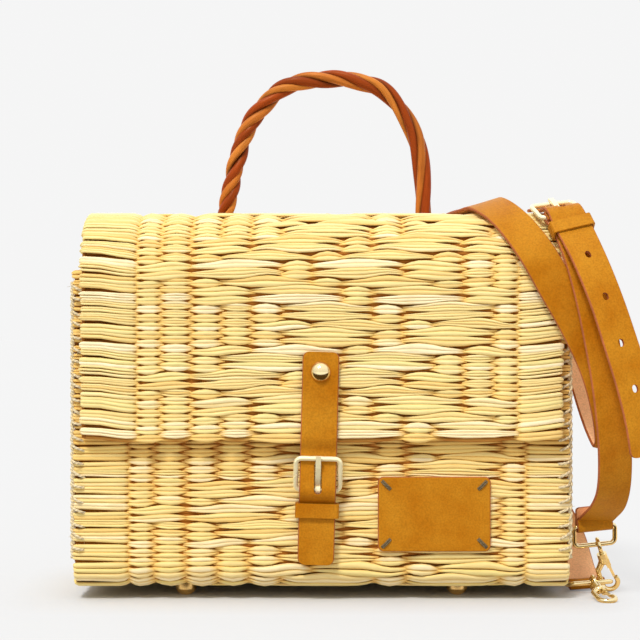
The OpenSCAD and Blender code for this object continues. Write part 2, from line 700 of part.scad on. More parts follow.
module upper_end_ring() {
  color(gold) place(upper_bar, upper_hang, upper_across) end_ring_shape();
}

module lower_end_ring() {
  color(gold) place(lower_bar, lower_hang, lower_across) end_ring_shape();
}

// A clasp hangs along its own Z axis: an eye, a swivel collar, an open hook and a sprung gate
eye_r = 3.9;
eye_wire = 1.2;
clasp_l = 26.6;
hook_r = 5;
gate_pivot = [2.2, 0, 14.5];
gate_pin_r = 0.7;
collar_r = 3;
swivel_r = 1.3;
upper_eye = [171.85, -25.25, 30.65];
upper_axis = [7.8, 7.6, -23.3];
lower_eye = [168.35, -23.7, 6.9];
lower_axis = [4, -25.8, -4.9];
module clasp_eye() {
  rotate([0, 90, 0]) rotate_extrude() translate([eye_r, 0]) circle(eye_wire);
  translate([0, 0, eye_r]) cylinder(r = swivel_r, h = 6);
}

module clasp_hook() {
  difference() {
    union() {
      translate([0, 0, 6]) cylinder(r = collar_r, h = 5.5);
      translate([0, 0, 11]) sphere(collar_r);
      hull() {
        translate([-1, 0, 11.5]) sphere(2.2, $fn = 24);
        translate([-4.6, 0, 16.5]) sphere(1.7, $fn = 24);
      }
      translate([-hook_r, 0, 16]) cylinder(r = wire_r, h = clasp_l - 16);
      translate([0, 0, clasp_l]) rotate([90, 0, 0]) rotate_extrude(angle = 210, start = -30)
        translate([hook_r, 0]) circle(wire_r);
      translate([-hook_r, 0, 16]) sphere(wire_r);
      translate([gate_pivot[0], 0, 13]) cube([2.4, 4.2, 6], center = true);
    }
    translate([0, 0, 5]) cylinder(r = swivel_r + pin_gap, h = 6);
    translate(gate_pivot + [0, 0, 1.2]) cube([6, 2, 5.4], center = true);
  }
  translate(gate_pivot) rotate([90, 0, 0]) cylinder(r = gate_pin_r, h = 4.2, center = true);
}

module clasp_gate() {
  reach = clasp_l - gate_pivot[2] - 3.1;
  difference() {
    union() {
      translate(gate_pivot) rotate([90, 0, 0]) cylinder(r = 1.5, h = 1.6, center = true);
      translate(gate_pivot) rotate([0, 9, 0]) translate([-0.8, -0.8, 0]) cube([1.6, 1.6, reach]);
    }
    translate(gate_pivot) rotate([90, 0, 0]) cylinder(r = gate_pin_r + pin_gap / 2, h = 5, center = true);
  }
}

module at_upper_clasp() {
  color(gold) place(upper_eye, upper_axis, [1, 0, 0]) children();
}
module at_lower_clasp() {
  color(gold) place(lower_eye, lower_axis, [1, 0, 0]) children();
}

body_mat();
side_panel(-1);  // left_side_panel
side_panel(1);  // right_side_panel
lid_mat();
handle();
closing_strap();
closing_rivet();
closing_rivet_plate();
buckle_frame();
buckle_prong();
buckle_tab();
tab_rivets();
tab_rivet_plates();
keeper_loop();
leather_patch();
foot(0);  // front_left_foot
foot(1);  // front_right_foot
foot(2);  // back_left_foot
foot(3);  // back_right_foot
foot_plates();
ring_tab(-1);  // left_ring_tab
ring_tab(1);  // right_ring_tab
side_ring(-1);  // left_side_ring
side_ring(1);  // right_side_ring
ring_tab_rivet(-1);  // left_tab_rivet
ring_tab_rivet(1);  // right_tab_rivet
long_strap();
short_strap();
strap_buckle_frame();
strap_buckle_prong();
strap_keeper();
upper_end_ring();
lower_end_ring();
at_upper_clasp() clasp_eye();  // upper_clasp_eye
at_upper_clasp() clasp_hook();  // upper_clasp_hook
at_upper_clasp() clasp_gate();  // upper_clasp_gate
at_lower_clasp() clasp_eye();  // lower_clasp_eye
at_lower_clasp() clasp_hook();  // lower_clasp_hook
at_lower_clasp() clasp_gate();  // lower_clasp_gate
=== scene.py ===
"""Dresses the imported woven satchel: reed mats, willow handle, leather, gold metal and twine."""

import json
import math

import bmesh
import bpy
import numpy as np
from mathutils import Matrix, Vector


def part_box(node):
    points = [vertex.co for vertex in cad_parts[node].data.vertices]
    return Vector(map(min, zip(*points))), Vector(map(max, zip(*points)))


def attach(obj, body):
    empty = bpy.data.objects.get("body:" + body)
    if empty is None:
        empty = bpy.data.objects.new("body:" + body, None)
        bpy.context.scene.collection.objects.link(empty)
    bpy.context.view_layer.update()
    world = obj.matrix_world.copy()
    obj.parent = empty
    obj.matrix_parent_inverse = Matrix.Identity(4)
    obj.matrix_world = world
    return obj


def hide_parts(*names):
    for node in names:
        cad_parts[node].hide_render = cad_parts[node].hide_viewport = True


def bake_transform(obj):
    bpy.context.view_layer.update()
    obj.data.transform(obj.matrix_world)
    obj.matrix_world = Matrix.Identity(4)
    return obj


bl_info = {
    "name": "Woven satchel",
    "version": (1, 0, 0),
    "blender": (4, 5, 0),
    "location": "3D View > Sidebar > Satchel",
    "description": "Builds the reed, willow, leather and metal of a woven satchel round its frame",
    "category": "Add Mesh",
}

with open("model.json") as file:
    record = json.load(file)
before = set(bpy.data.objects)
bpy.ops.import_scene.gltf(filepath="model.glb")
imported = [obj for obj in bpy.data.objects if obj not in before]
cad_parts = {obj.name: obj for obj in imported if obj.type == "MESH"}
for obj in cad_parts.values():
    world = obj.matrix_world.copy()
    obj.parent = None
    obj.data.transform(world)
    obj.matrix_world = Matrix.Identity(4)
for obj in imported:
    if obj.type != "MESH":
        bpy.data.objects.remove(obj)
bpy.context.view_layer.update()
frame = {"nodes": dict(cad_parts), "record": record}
NODES = frame["nodes"]
BODY_OF = {node: body for body, held in frame["record"]["behaviour"]["bodies"].items() for node in held}
MM = 0.001

# The boxes of the mats come from the frame. The other sizes are the part's own.
BODY_LOW, BODY_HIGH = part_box("body_mat")
LID_LOW, LID_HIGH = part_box("lid_mat")
FRONT_TOP = 199 * MM
FOLD_R = 14 * MM
SHOULDER_R = 42 * MM
HINGE_BEND = 8 * MM
WARPS = 13
NUDGE = 0.1 * MM


def number_prop(name, description, default, **kind):
    return bpy.props.FloatProperty(name=name, description=description, default=default, **kind)


def size_prop(name, description, default):
    return bpy.props.FloatProperty(name=name, description=description, default=default, unit="LENGTH")


def colour_prop(name, description, default):
    return bpy.props.FloatVectorProperty(name=name, description=description, default=default, subtype="COLOR")


def place_prop(name, description, default):
    return bpy.props.FloatVectorProperty(name=name, description=description, default=default, subtype="XYZ")


class ReedSettings(bpy.types.PropertyGroup):
    """Sizes and colours of the woven reed."""

    row: size_prop("Row pitch", "Distance between two rows", 5 * MM)
    period: size_prop("Float period", "Length in which the long floats wander to one side and back", 65 * MM)
    ridge: size_prop("Ridge", "Height of the ridges of the frame's mats", 1.6 * MM)
    mat: size_prop("Mat thickness", "Thickness of the woven mat", 7.2 * MM)
    rise: size_prop("Rise", "How far a reed rises over a warp", 1.9 * MM)
    thick: size_prop("Reed half thickness", "Half the thickness of a reed", 1.0 * MM)
    left: size_prop("Left border", "Plain border at the left edge", 39 * MM)
    right: size_prop("Right border", "Plain border at the right edge", 32 * MM)
    pale: colour_prop("Pale reed", "Lightest reeds", (0.96, 0.83, 0.53))
    straw: colour_prop("Straw reed", "Most of the reeds", (0.905, 0.725, 0.315))
    green: colour_prop("Green reed", "Reeds cut early", (0.86, 0.745, 0.31))
    deep: colour_prop("Deep reed", "Darkest reeds", (0.87, 0.60, 0.21))
    # Painted shade: the brown of a reed where it goes under, also used for the warps and the middle of the
    # mat
    tuck: colour_prop("Tucked reed", "Brown of the reed where it goes under", (0.47, 0.16, 0.022))
    # Painted shade: the gold of a reed along its sides and below the lid's edge; on the body it also gives an
    # all-over browner tone
    gold_tone_and_shade: colour_prop(
        "Golden reed", "Gold of the reed along its sides and under the lid", (0.88, 0.56, 0.14))


class LeatherSettings(bpy.types.PropertyGroup):
    """Sizes and colours of the leather."""

    strap_w: size_prop("Strap width", "Width of the shoulder strap", 22.4 * MM)
    strap_t: size_prop("Strap thickness", "Thickness of the shoulder strap", 2 * MM)
    close_w: size_prop("Closing strap width", "Width of the closing strap", 22 * MM)
    close_t: size_prop("Closing strap thickness", "Thickness of the closing strap", 2.4 * MM)
    grain: colour_prop("Grain side", "Smooth tan side", (0.44, 0.138, 0.003))
    worn: colour_prop("Worn grain", "Lighter places of the tan side", (0.57, 0.235, 0.014))
    flesh: colour_prop("Flesh side", "Rough pinkish side", (0.87, 0.46, 0.24))
    edge: colour_prop("Cut edge", "Dark rubbed edge", (0.34, 0.10, 0.036))


class WillowSettings(bpy.types.PropertyGroup):
    """Sizes and colours of the twisted handle."""

    rods: bpy.props.IntProperty(name="Rods", description="Rods in the twist", default=4, min=3, max=6)
    rod_r: size_prop("Rod radius", "Radius of one rod", 2.7 * MM)
    ring_r: size_prop("Ring radius", "Distance of the rods from the hoop's middle", 2.95 * MM)
    bark: colour_prop("Bark", "Dark brown of the rods", (0.27, 0.040, 0.004))
    peeled: colour_prop("Peeled", "Light brown of the rods", (0.62, 0.20, 0.030))


class TrimSettings(bpy.types.PropertyGroup):
    """Metal, twine and thread."""

    gold: colour_prop("Gold", "Pale gold plate", (0.88, 0.72, 0.40))
    pale_gold: colour_prop("Pale gold", "Lacquered plate of the buckles", (1.0, 0.89, 0.55))
    wire_r: size_prop("Wire radius", "Radius of the wire of buckles and rings", 1.5 * MM)
    twine: colour_prop("Twine", "Grey beige jute", (0.74, 0.60, 0.36))
    thread: colour_prop("Thread", "Waxed thread of the patch", (0.17, 0.12, 0.055))
    twine_r: size_prop("Twine radius", "Radius of the seam twine", 0.85 * MM)


class StageSettings(bpy.types.PropertyGroup):
    """Camera, floor and light."""

    eye: place_prop("Eye", "Place of the camera", (-0.0009, -1.00915, 0.170))
    lens: number_prop("Lens", "Focal length on a 36 mm sensor", 89.4, unit="CAMERA")
    backdrop: number_prop("Backdrop", "Level of the pale ground", 0.915, subtype="FACTOR")
    floor: number_prop("Floor", "Share of light that the floor sends back", 0.612, subtype="FACTOR")
    ground: number_prop(
        "Pale ground", "Share of the floor that the camera sees as backdrop", 0.75, subtype="FACTOR")
    sky_low: number_prop("Low sky", "Soft light from the horizon", 0.45)
    sky_high: number_prop("High sky", "Soft light from above", 1.2)
    sun: number_prop("Sun", "Light from the front above", 2.2)
    sun_from: place_prop("Sun from", "Where the sun stands", (-0.3, -0.7, 1.0))


def settings(name):
    return getattr(bpy.context.scene, "satchel_" + name)


# Materials


def shader(name):
    """A new material, with its tree, its principled shader and a function that adds a node."""
    material = bpy.data.materials.new(name)
    material.use_nodes = True
    tree = material.node_tree
    main = tree.nodes["Principled BSDF"]

    def add(kind, links=(), **values):
        node = tree.nodes.new(kind)
        for key, value in values.items():
            if key in node.inputs:
                node.inputs[key].default_value = value
            else:
                setattr(node, key, value)
        for socket, source in links:
            tree.links.new(source, node.inputs[socket])
        return node

    return material, tree, main, add


def colour(value):
    return (*value, 1.0)


def times(tint, factor):
    """A colour made lighter or darker."""
    return [min(1.0, c * factor) for c in tint]


def mixed(add, factor, a, b, mode="MIX"):
    """A colour mix of two colours or sockets by a factor socket or number."""
    node = add("ShaderNodeMix", data_type="RGBA", blend_type=mode)
    for index, value in ((0, factor), (6, a), (7, b)):
        if hasattr(value, "is_linked"):
            node.id_data.links.new(value, node.inputs[index])
        else:
            node.inputs[index].default_value = value
    return node.outputs[2]


def ramp(add, source, stops):
    """A colour ramp of (place, grey or colour) stops."""
    node = add("ShaderNodeValToRGB", [("Fac", source)])
    elements = node.color_ramp.elements
    while len(elements) < len(stops):
        elements.new(0.5)
    for element, (place, value) in zip(elements, stops):
        element.position = place
        element.color = colour(value) if hasattr(value, "__len__") else (value, value, value, 1.0)
    return node.outputs["Color"]


def bumped(add, tree, main, source, strength, distance):
    bump = add("ShaderNodeBump", [("Height", source)], Strength=strength, Distance=distance)
    tree.links.new(bump.outputs["Normal"], main.inputs["Normal"])


def along_rod(add, scale, detail=4.0):
    """Noise stretched along a rod, from its own length and turn."""
    where = add("ShaderNodeUVMap", uv_map="length_turn")
    stretch = add("ShaderNodeMapping", [("Vector", where.outputs["UV"])], Scale=scale)
    noise = add("ShaderNodeTexNoise", [("Vector", stretch.outputs["Vector"])], Scale=1.0, Detail=detail)
    return noise.outputs["Fac"]


def rod_material(name, stops, dark, roughness, blotch, tuck=None, gold_tone_and_shade=None):
    """Reed or willow: a tone for each rod, streaks along it, blotches, and painted shade, gold along its
    sides and brown where it lies under or between its neighbours.
    """
    material, tree, main, add = shader(name)
    tone = add("ShaderNodeAttribute", attribute_name="tone").outputs["Fac"]
    base = ramp(add, tone, stops)
    streak = along_rod(add, (60.0, 7.0, 1.0))
    streaked = mixed(add, ramp(add, streak, [(0.42, 0.0), (0.75, 0.5)]), base, colour(dark))
    patches = along_rod(add, (16.0, 0.6, 1.0), 2.0)
    tint = mixed(add, ramp(add, patches, [(0.55, 0.0), (0.8, blotch)]), streaked, colour(dark))
    if tuck is not None:
        tucked = add("ShaderNodeAttribute", attribute_name="tucked").outputs["Fac"]
        if gold_tone_and_shade is not None:
            tint = mixed(add, ramp(add, tucked, [(0.05, 0.0), (0.45, 0.85)]), tint, colour(gold_tone_and_shade))
        begin = 0.1 if gold_tone_and_shade is None else 0.38
        tint = mixed(add, ramp(add, tucked, [(begin, 0.0), (0.85, 0.95)]), tint, colour(tuck))
    tree.links.new(tint, main.inputs["Base Color"])
    shine = ramp(add, streak, [(0.3, roughness), (0.8, min(1.0, roughness + 0.2))])
    tree.links.new(shine, main.inputs["Roughness"])
    main.inputs["Specular IOR Level"].default_value = 0.2
    main.inputs["Specular Tint"].default_value = (1.0, 0.75, 0.4, 1.0)
    bumped(add, tree, main, streak, 0.35, 0.6 * MM)
    return material


def grain_material(name, base, worn, roughness, pore_scale, depth):
    """Leather: soft blotches, fine pores and a slight wear."""
    material, tree, main, add = shader(name)
    where = add("ShaderNodeTexCoord").outputs["Object"]
    cloud = add("ShaderNodeTexNoise", [("Vector", where)], Scale=38.0, Detail=5.0, Roughness=0.62)
    fine = add("ShaderNodeTexNoise", [("Vector", where)], Scale=900.0, Detail=3.0)
    pores = add("ShaderNodeTexVoronoi", [("Vector", where)], Scale=pore_scale, feature="DISTANCE_TO_EDGE")
    tint = mixed(add, ramp(add, cloud.outputs["Fac"], [(0.3, 0.0), (0.72, 1.0)]), colour(base), colour(worn))
    speck = ramp(add, fine.outputs["Fac"], [(0.3, 0.78), (0.62, 1.0)])
    tree.links.new(mixed(add, 1.0, tint, speck, "MULTIPLY"), main.inputs["Base Color"])
    shine = ramp(add, cloud.outputs["Fac"], [(0.3, roughness - 0.08), (0.7, roughness + 0.1)])
    tree.links.new(shine, main.inputs["Roughness"])
    main.inputs["Specular IOR Level"].default_value = 0.2
    main.inputs["Specular Tint"].default_value = (1.0, 0.62, 0.22, 1.0)
    bumped(add, tree, main, pores.outputs["Distance"], 0.25, depth)
    return material


def gold_material(name, tint, metal=1.0, dull=0.0):
    """Plated metal with faint brushing and tarnish. metal is below 1 under clear lacquer."""
    material, tree, main, add = shader(name)
    where = add("ShaderNodeTexCoord").outputs["Object"]
    cloud = add("ShaderNodeTexNoise", [("Vector", where)], Scale=160.0, Detail=4.0)
    darker = times(tint, 0.95 - 0.23 * metal)
    tarnish = ramp(add, cloud.outputs["Fac"], [(0.45, 0.0), (0.85, 0.7)])
    shine = ramp(add, cloud.outputs["Fac"], [(0.3, 0.1 + dull), (0.75, 0.26 + dull)])
    tree.links.new(mixed(add, tarnish, colour(tint), colour(darker)), main.inputs["Base Color"])
    tree.links.new(shine, main.inputs["Roughness"])
    main.inputs["Metallic"].default_value = metal
    bumped(add, tree, main, cloud.outputs["Fac"], 0.05, 0.3 * MM)
    return material


def fibre_material(name, tint):
    """Twine or thread: two twisted yarns of rough fibre."""
    material, tree, main, add = shader(name)
    where = add("ShaderNodeUVMap", uv_map="length_turn")
    lay = add("ShaderNodeMapping", [("Vector", where.outputs["UV"])], Scale=(520.0, 2.0, 1.0))
    wave = add("ShaderNodeTexWave", [("Vector", lay.outputs["Vector"])], Scale=0.5, Distortion=1.5,
               bands_direction="DIAGONAL")
    yarn = mixed(add, wave.outputs["Fac"], colour(times(tint, 0.72)), colour(times(tint, 1.12)))
    tree.links.new(yarn, main.inputs["Base Color"])
    main.inputs["Roughness"].default_value = 0.9
    bumped(add, tree, main, wave.outputs["Fac"], 0.6, 0.4 * MM)
    return material


def finish(name):
    """The named finish, made once."""
    kept = "finish_" + name
    made = bpy.data.materials.get(kept)
    if made:
        return made
    reed, leather, willow, trim = (settings(n) for n in ("reed", "leather", "willow", "trim"))
    if name == "reed":
        stops = [(0.0, reed.deep), (0.2, reed.straw), (0.48, reed.straw), (0.6, reed.green),
                 (0.72, reed.straw), (1.0, reed.pale)]
        return rod_material(kept, stops, times(reed.deep, 0.72), 0.45, 0.45, reed.tuck, reed.gold_tone_and_shade)
    # Painted shade: the warps and the middle of a mat are dark brown as if in the shade of the reeds
    if name == "warp_reed":
        stops = [(0.0, reed.tuck), (1.0, times(reed.tuck, 0.6))]
        return rod_material(kept, stops, times(reed.tuck, 0.5), 0.6, 0.5)
    if name == "willow":
        stops = [(0.0, willow.bark), (0.45, times(willow.bark, 1.3)), (1.0, willow.peeled)]
        # Painted shade: the darkest brown is for the grooves between the twisted rods
        return rod_material(kept, stops, times(willow.bark, 0.4), 0.34, 0.5, times(willow.bark, 0.3))
    if name == "leather_grain":
        return grain_material(kept, leather.grain, leather.worn, 0.42, 1500.0, 0.2 * MM)
    if name == "leather_flesh":
        return grain_material(kept, leather.flesh, times(leather.flesh, 1.25), 0.85, 700.0, 0.5 * MM)
    if name == "leather_edge":
        return grain_material(kept, leather.edge, times(leather.edge, 1.5), 0.6, 1200.0, 0.2 * MM)
    if name == "gold":
        return gold_material(kept, trim.gold)
    if name == "pale_gold":
        return gold_material(kept, trim.pale_gold, 0.3, 0.05)
    return fibre_material(kept, getattr(trim, name))


# Meshes


def piece(name, mesh, materials):
    """Links a new object with its finishes."""
    obj = bpy.data.objects.new(name, mesh)
    bpy.context.scene.collection.objects.link(obj)
    for material in materials:
        mesh.materials.append(finish(material))
    return obj


TONE_SHIFT = 7.0    # Moves the grain along a rod by its tone, so that no two rods look alike


def rods_mesh(name, centre, side, normal, half_w, half_t, tones, sides=6, shade=None):
    """One mesh of many closed rods, from arrays of (rod, station, 3) and (rod, station).

    shade, of (rod, station, side), is how brown the rods are: painted shade, and on the body also a browner
    tone.
    """
    rods, stations = centre.shape[:2]
    turn = np.arange(sides) * (2 * np.pi / sides)
    rings = (centre[:, :, None]
             + side[:, :, None] * (half_w[:, :, None] * np.cos(turn))[..., None]
             + normal[:, :, None] * (half_t[:, :, None] * np.sin(turn))[..., None])
    index = np.arange(rods * stations * sides).reshape(rods, stations, sides)
    after = np.roll(index, -1, axis=2)
    walls = np.stack([index[:, :-1], after[:, :-1], after[:, 1:], index[:, 1:]], axis=-1)
    pairs = [(j, j + 1, sides - 2 - j, sides - 1 - j) for j in range(sides // 2 - 1)]

    def caps(values):
        """The far and the near end of each rod, as quads."""
        return [np.stack([values[:, -1][:, list(p)] for p in pairs], axis=1),
                np.stack([values[:, 0][:, list(p[::-1])] for p in pairs], axis=1)]

    faces = np.concatenate([quads.reshape(-1, 4) for quads in (walls, *caps(index))])
    steps = np.linalg.norm(np.diff(centre, axis=1), axis=2)
    length = np.concatenate([np.zeros((rods, 1)), np.cumsum(steps, axis=1)], axis=1)
    length = length + np.asarray(tones)[:, None] * TONE_SHIFT
    u = np.repeat(length[:, :, None], sides + 1, axis=2)
    v = np.broadcast_to(np.arange(sides + 1) / sides, u.shape)
    uv = np.stack([u, v], axis=-1)
    wall_uv = np.stack([uv[:, :-1, :-1], uv[:, :-1, 1:], uv[:, 1:, 1:], uv[:, 1:, :-1]], axis=3)
    loops_uv = np.concatenate([quads.reshape(-1, 4, 2) for quads in (wall_uv, *caps(uv))])
    if np.sum(np.cross(side, normal)[:, :-1] * np.diff(centre, axis=1)) < 0:
        faces, loops_uv = faces[:, ::-1], loops_uv[:, ::-1]
    mesh = bpy.data.meshes.new(name)
    mesh.from_pydata(rings.reshape(-1, 3), [], faces)
    mesh.polygons.foreach_set("use_smooth", np.ones(len(faces), bool))
    layer = mesh.uv_layers.new(name="length_turn")
    layer.data.foreach_set("uv", loops_uv.astype(np.float32).ravel())
    tone = mesh.attributes.new("tone", "FLOAT", "POINT")
    tone.data.foreach_set("value", np.repeat(np.asarray(tones, np.float32), stations * sides))
    if shade is not None:
        tucked = mesh.attributes.new("tucked", "FLOAT", "POINT")
        tucked.data.foreach_set("value", shade.astype(np.float32).ravel())
    mesh.update()
    return mesh


def unit(v):
    return v / np.maximum(np.linalg.norm(v, axis=-1, keepdims=True), 1e-12)


def smooth_curve(points, steps):
    """A dense curve through given points."""
    p = np.asarray(points, float)
    padded = np.concatenate([p[:1], p, p[-1:]])
    t = (np.arange(steps) / steps)[:, None]
    parts = []
    for a, b, c, d in zip(padded, padded[1:], padded[2:], padded[3:]):
        parts.append((2 * b + (c - a) * t + (2 * a - 5 * b + 4 * c - d) * t**2
                      + (3 * b - a - 3 * c + d) * t**3) / 2)
    return np.concatenate([*parts, p[-1:]])


def lengths_along(points):
    return np.concatenate([[0.0], np.cumsum(np.linalg.norm(np.diff(points, axis=0), axis=1))])


def at_lengths(points, along, where):
    """Values of a dense curve at given lengths."""
    return np.stack([np.interp(where, along, points[:, i]) for i in range(points.shape[1])], axis=1)


def tangents(points):
    return unit(np.gradient(points, axis=0))


THREAD_LEAN = np.array([0.31, 0.17, 0.93])    # No thread runs this way


def thread_mesh(name, lines, radius, tones, sides=6):
    """Round threads along lines of equally many points."""
    centre = np.asarray(lines, float)
    along = unit(np.gradient(centre, axis=1))
    side = unit(np.cross(along, THREAD_LEAN))
    normal = np.cross(along, side)
    size = np.full(centre.shape[:2], radius)
    return rods_mesh(name, centre, side, normal, size, size, tones, sides)


# Weaving


def folded(legs, start, heading, s):
    """Points and outward normals in the YZ plane at distances s along legs of (length, turn)."""
    s = np.asarray(s, float)
    place, out = np.zeros(s.shape + (2,)), np.zeros(s.shape + (2,))
    position, angle, begun = np.array(start, float), heading, 0.0

    def way(a):
        return np.stack([np.cos(a), np.sin(a)], axis=-1)

    for i, (length, turn) in enumerate(legs):
        here = np.ones(s.shape, bool)
        if i > 0:
            here &= s >= begun
        if i < len(legs) - 1:
            here &= s < begun + length
        d = s - begun
        a = angle + turn * d / length
        if turn:
            bent = position + length / turn * (way(a - np.pi / 2) - way(np.full(s.shape, angle - np.pi / 2)))
            end = position + length / turn * (way(angle + turn - np.pi / 2) - way(angle - np.pi / 2))
        else:
            bent = position + d[..., None] * way(np.full(s.shape, angle))
            end = position + length * way(angle)
        place[here] = bent[here]
        out[here] = way(a - np.pi / 2)[here]
        position, angle, begun = end, angle + turn, begun + length
    return place, out


SAG_BELOW, SAG_DEPTH = 25 * MM, 20 * MM


def mat_surface(legs, start, heading, sag=0.0):
    """A function that puts (across X, distance along the fold, level) into the frame.

    sag is how far the lowest part of the mat hangs down.
    """
    lift = settings("reed").ridge / 2

    def surface(u, v, level):
        place, out = folded(legs, start, heading, v)
        level = level + lift
        z = place[..., 1] + level * out[..., 1]
        z = z - sag * np.clip((BODY_LOW.z + SAG_BELOW - z) / SAG_DEPTH, 0, 1) ** 2
        return np.stack([u, place[..., 0] + level * out[..., 0], z], axis=-1)

    return surface


def pick_places(legs):
    """Two picks for each row, evenly spaced along each leg of the fold."""
    places, begun = [], 0.0
    for length, _ in legs:
        picks = 2 * round(length / settings("reed").row)
        places += [begun + length * (k + 0.5) / picks for k in range(picks)]
        begun += length
    return np.array(places)


def float_starts(places, low):
    """The warp where each row's long floats start: it wanders from 1 to 5 and back."""
    wave = ((places[::2] - low) / settings("reed").period) % 1.0
    return [1 + int(round(4 * (1 - abs(2 * w - 1)))) for w in wave]


def row_over(first, count):
    """Which warps a row's first pick passes over: two long floats, plain weave beside them."""
    over = []
    for c in range(count):
        floats = first is not None and first <= c <= first + 8
        over.append((c - first) % 4 != 0 if floats else c % 2 != 0)
    return over


def pick_plan(firsts, count):
    """Which picks lie over each warp and border. A row's second pick is over where the first is under."""
    plan = []
    for first in firsts:
        over = row_over(first, count)
        for picks in (over, [not q for q in over]):
            plan.append([not picks[0], *picks, not picks[-1]])
    return np.array(plan)


def settled(places, over, weight):
    """Picks on one face of a warp share its length by weight: the middle and height of each."""
    at = np.repeat(places[:, None], over.shape[1], axis=1)
    tall = np.zeros(at.shape)
    for c in range(over.shape[1]):
        for face in (over[:, c], ~over[:, c]):
            here = np.flatnonzero(face)
            p, w = places[here].copy(), weight[here, c]
            for _ in range(3):
                p[1:-1] = 0.5 * p[1:-1] + 0.25 * (p[:-2] + p[2:])
            inner = p[:-1] + np.diff(p) * w[:-1] / (w[:-1] + w[1:])
            bounds = np.concatenate([[2 * p[0] - inner[0]], inner, [2 * p[-1] - inner[-1]]])
            at[here, c] = (bounds[1:] + bounds[:-1]) / 2
            tall[here, c] = np.diff(bounds)
    return at, tall


# Shares of the space between two warps
TUCK, BORDER_TUCK = 0.43, 0.12    # Where a pick is still as narrow as its waist
CROSSING = 0.6                    # Where the border's reeds go under
STATIONS = np.array([0.15, 0.3, 0.45, 0.62, 0.9])


def lens_spread(over, knots, where, spacing):
    """How far the reeds of each pick fan out, 0 where they go under and 1 in the middle, and their weight.

    A float over one warp weighs less than a long one.
    """
    spread, weight = np.zeros((2, len(over), len(where)))
    gap = np.minimum(np.diff(knots), spacing)
    for i, state in enumerate(over):
        under = np.flatnonzero(~state)
        low = knots[under]
        k = np.searchsorted(low, where, side="right")
        first, then = under[np.maximum(k - 1, 0)], under[np.minimum(k, len(low) - 1)]
        before = np.where(k > 0, knots[first], -np.inf)
        after = np.where(k < len(low), knots[then], np.inf)
        outer = np.isinf(after - before)
        border = 0.46 + 0.24 * abs(math.sin(2.4 * i))
        reach = np.where(outer, border * spacing, np.minimum((after - before) / 2, 2 * spacing))
        left = np.where(outer, BORDER_TUCK * spacing, TUCK * gap[np.minimum(first, len(gap) - 1)])
        right = np.where(outer, BORDER_TUCK * spacing, TUCK * gap[np.maximum(then - 1, 0)])
        rise = np.clip((where - before - left) / (reach - left), 0, 1)
        fall = np.clip((after - where - right) / (reach - right), 0, 1)
        spread[i] = (1 - (1 - rise) ** 2) * (1 - (1 - fall) ** 2)
        weight[i] = spread[i] * np.clip(0.25 + 0.19 * (after - before) / spacing, 0.6, 1.0)
    return spread, weight


WAIST = 1.75 * MM
STRAND_WIDTH, LEAST_WIDTH = 0.57, 0.5 * MM    # Half width of a reed: its share of a pick, and its least
END_TURN = np.linspace(0, np.pi, 5)[1:]       # Reed ends bent round the edge, and how they close up
END_WIDTH = np.array([0.88, 0.7, 0.5, 0.35])
PLAIN_END = np.arange(1, 5) * 0.4 * MM        # Reed ends that stop at the edge
PAIR_SHIFT = 0.45 * MM                        # How far the bundles of the border lean on their neighbours


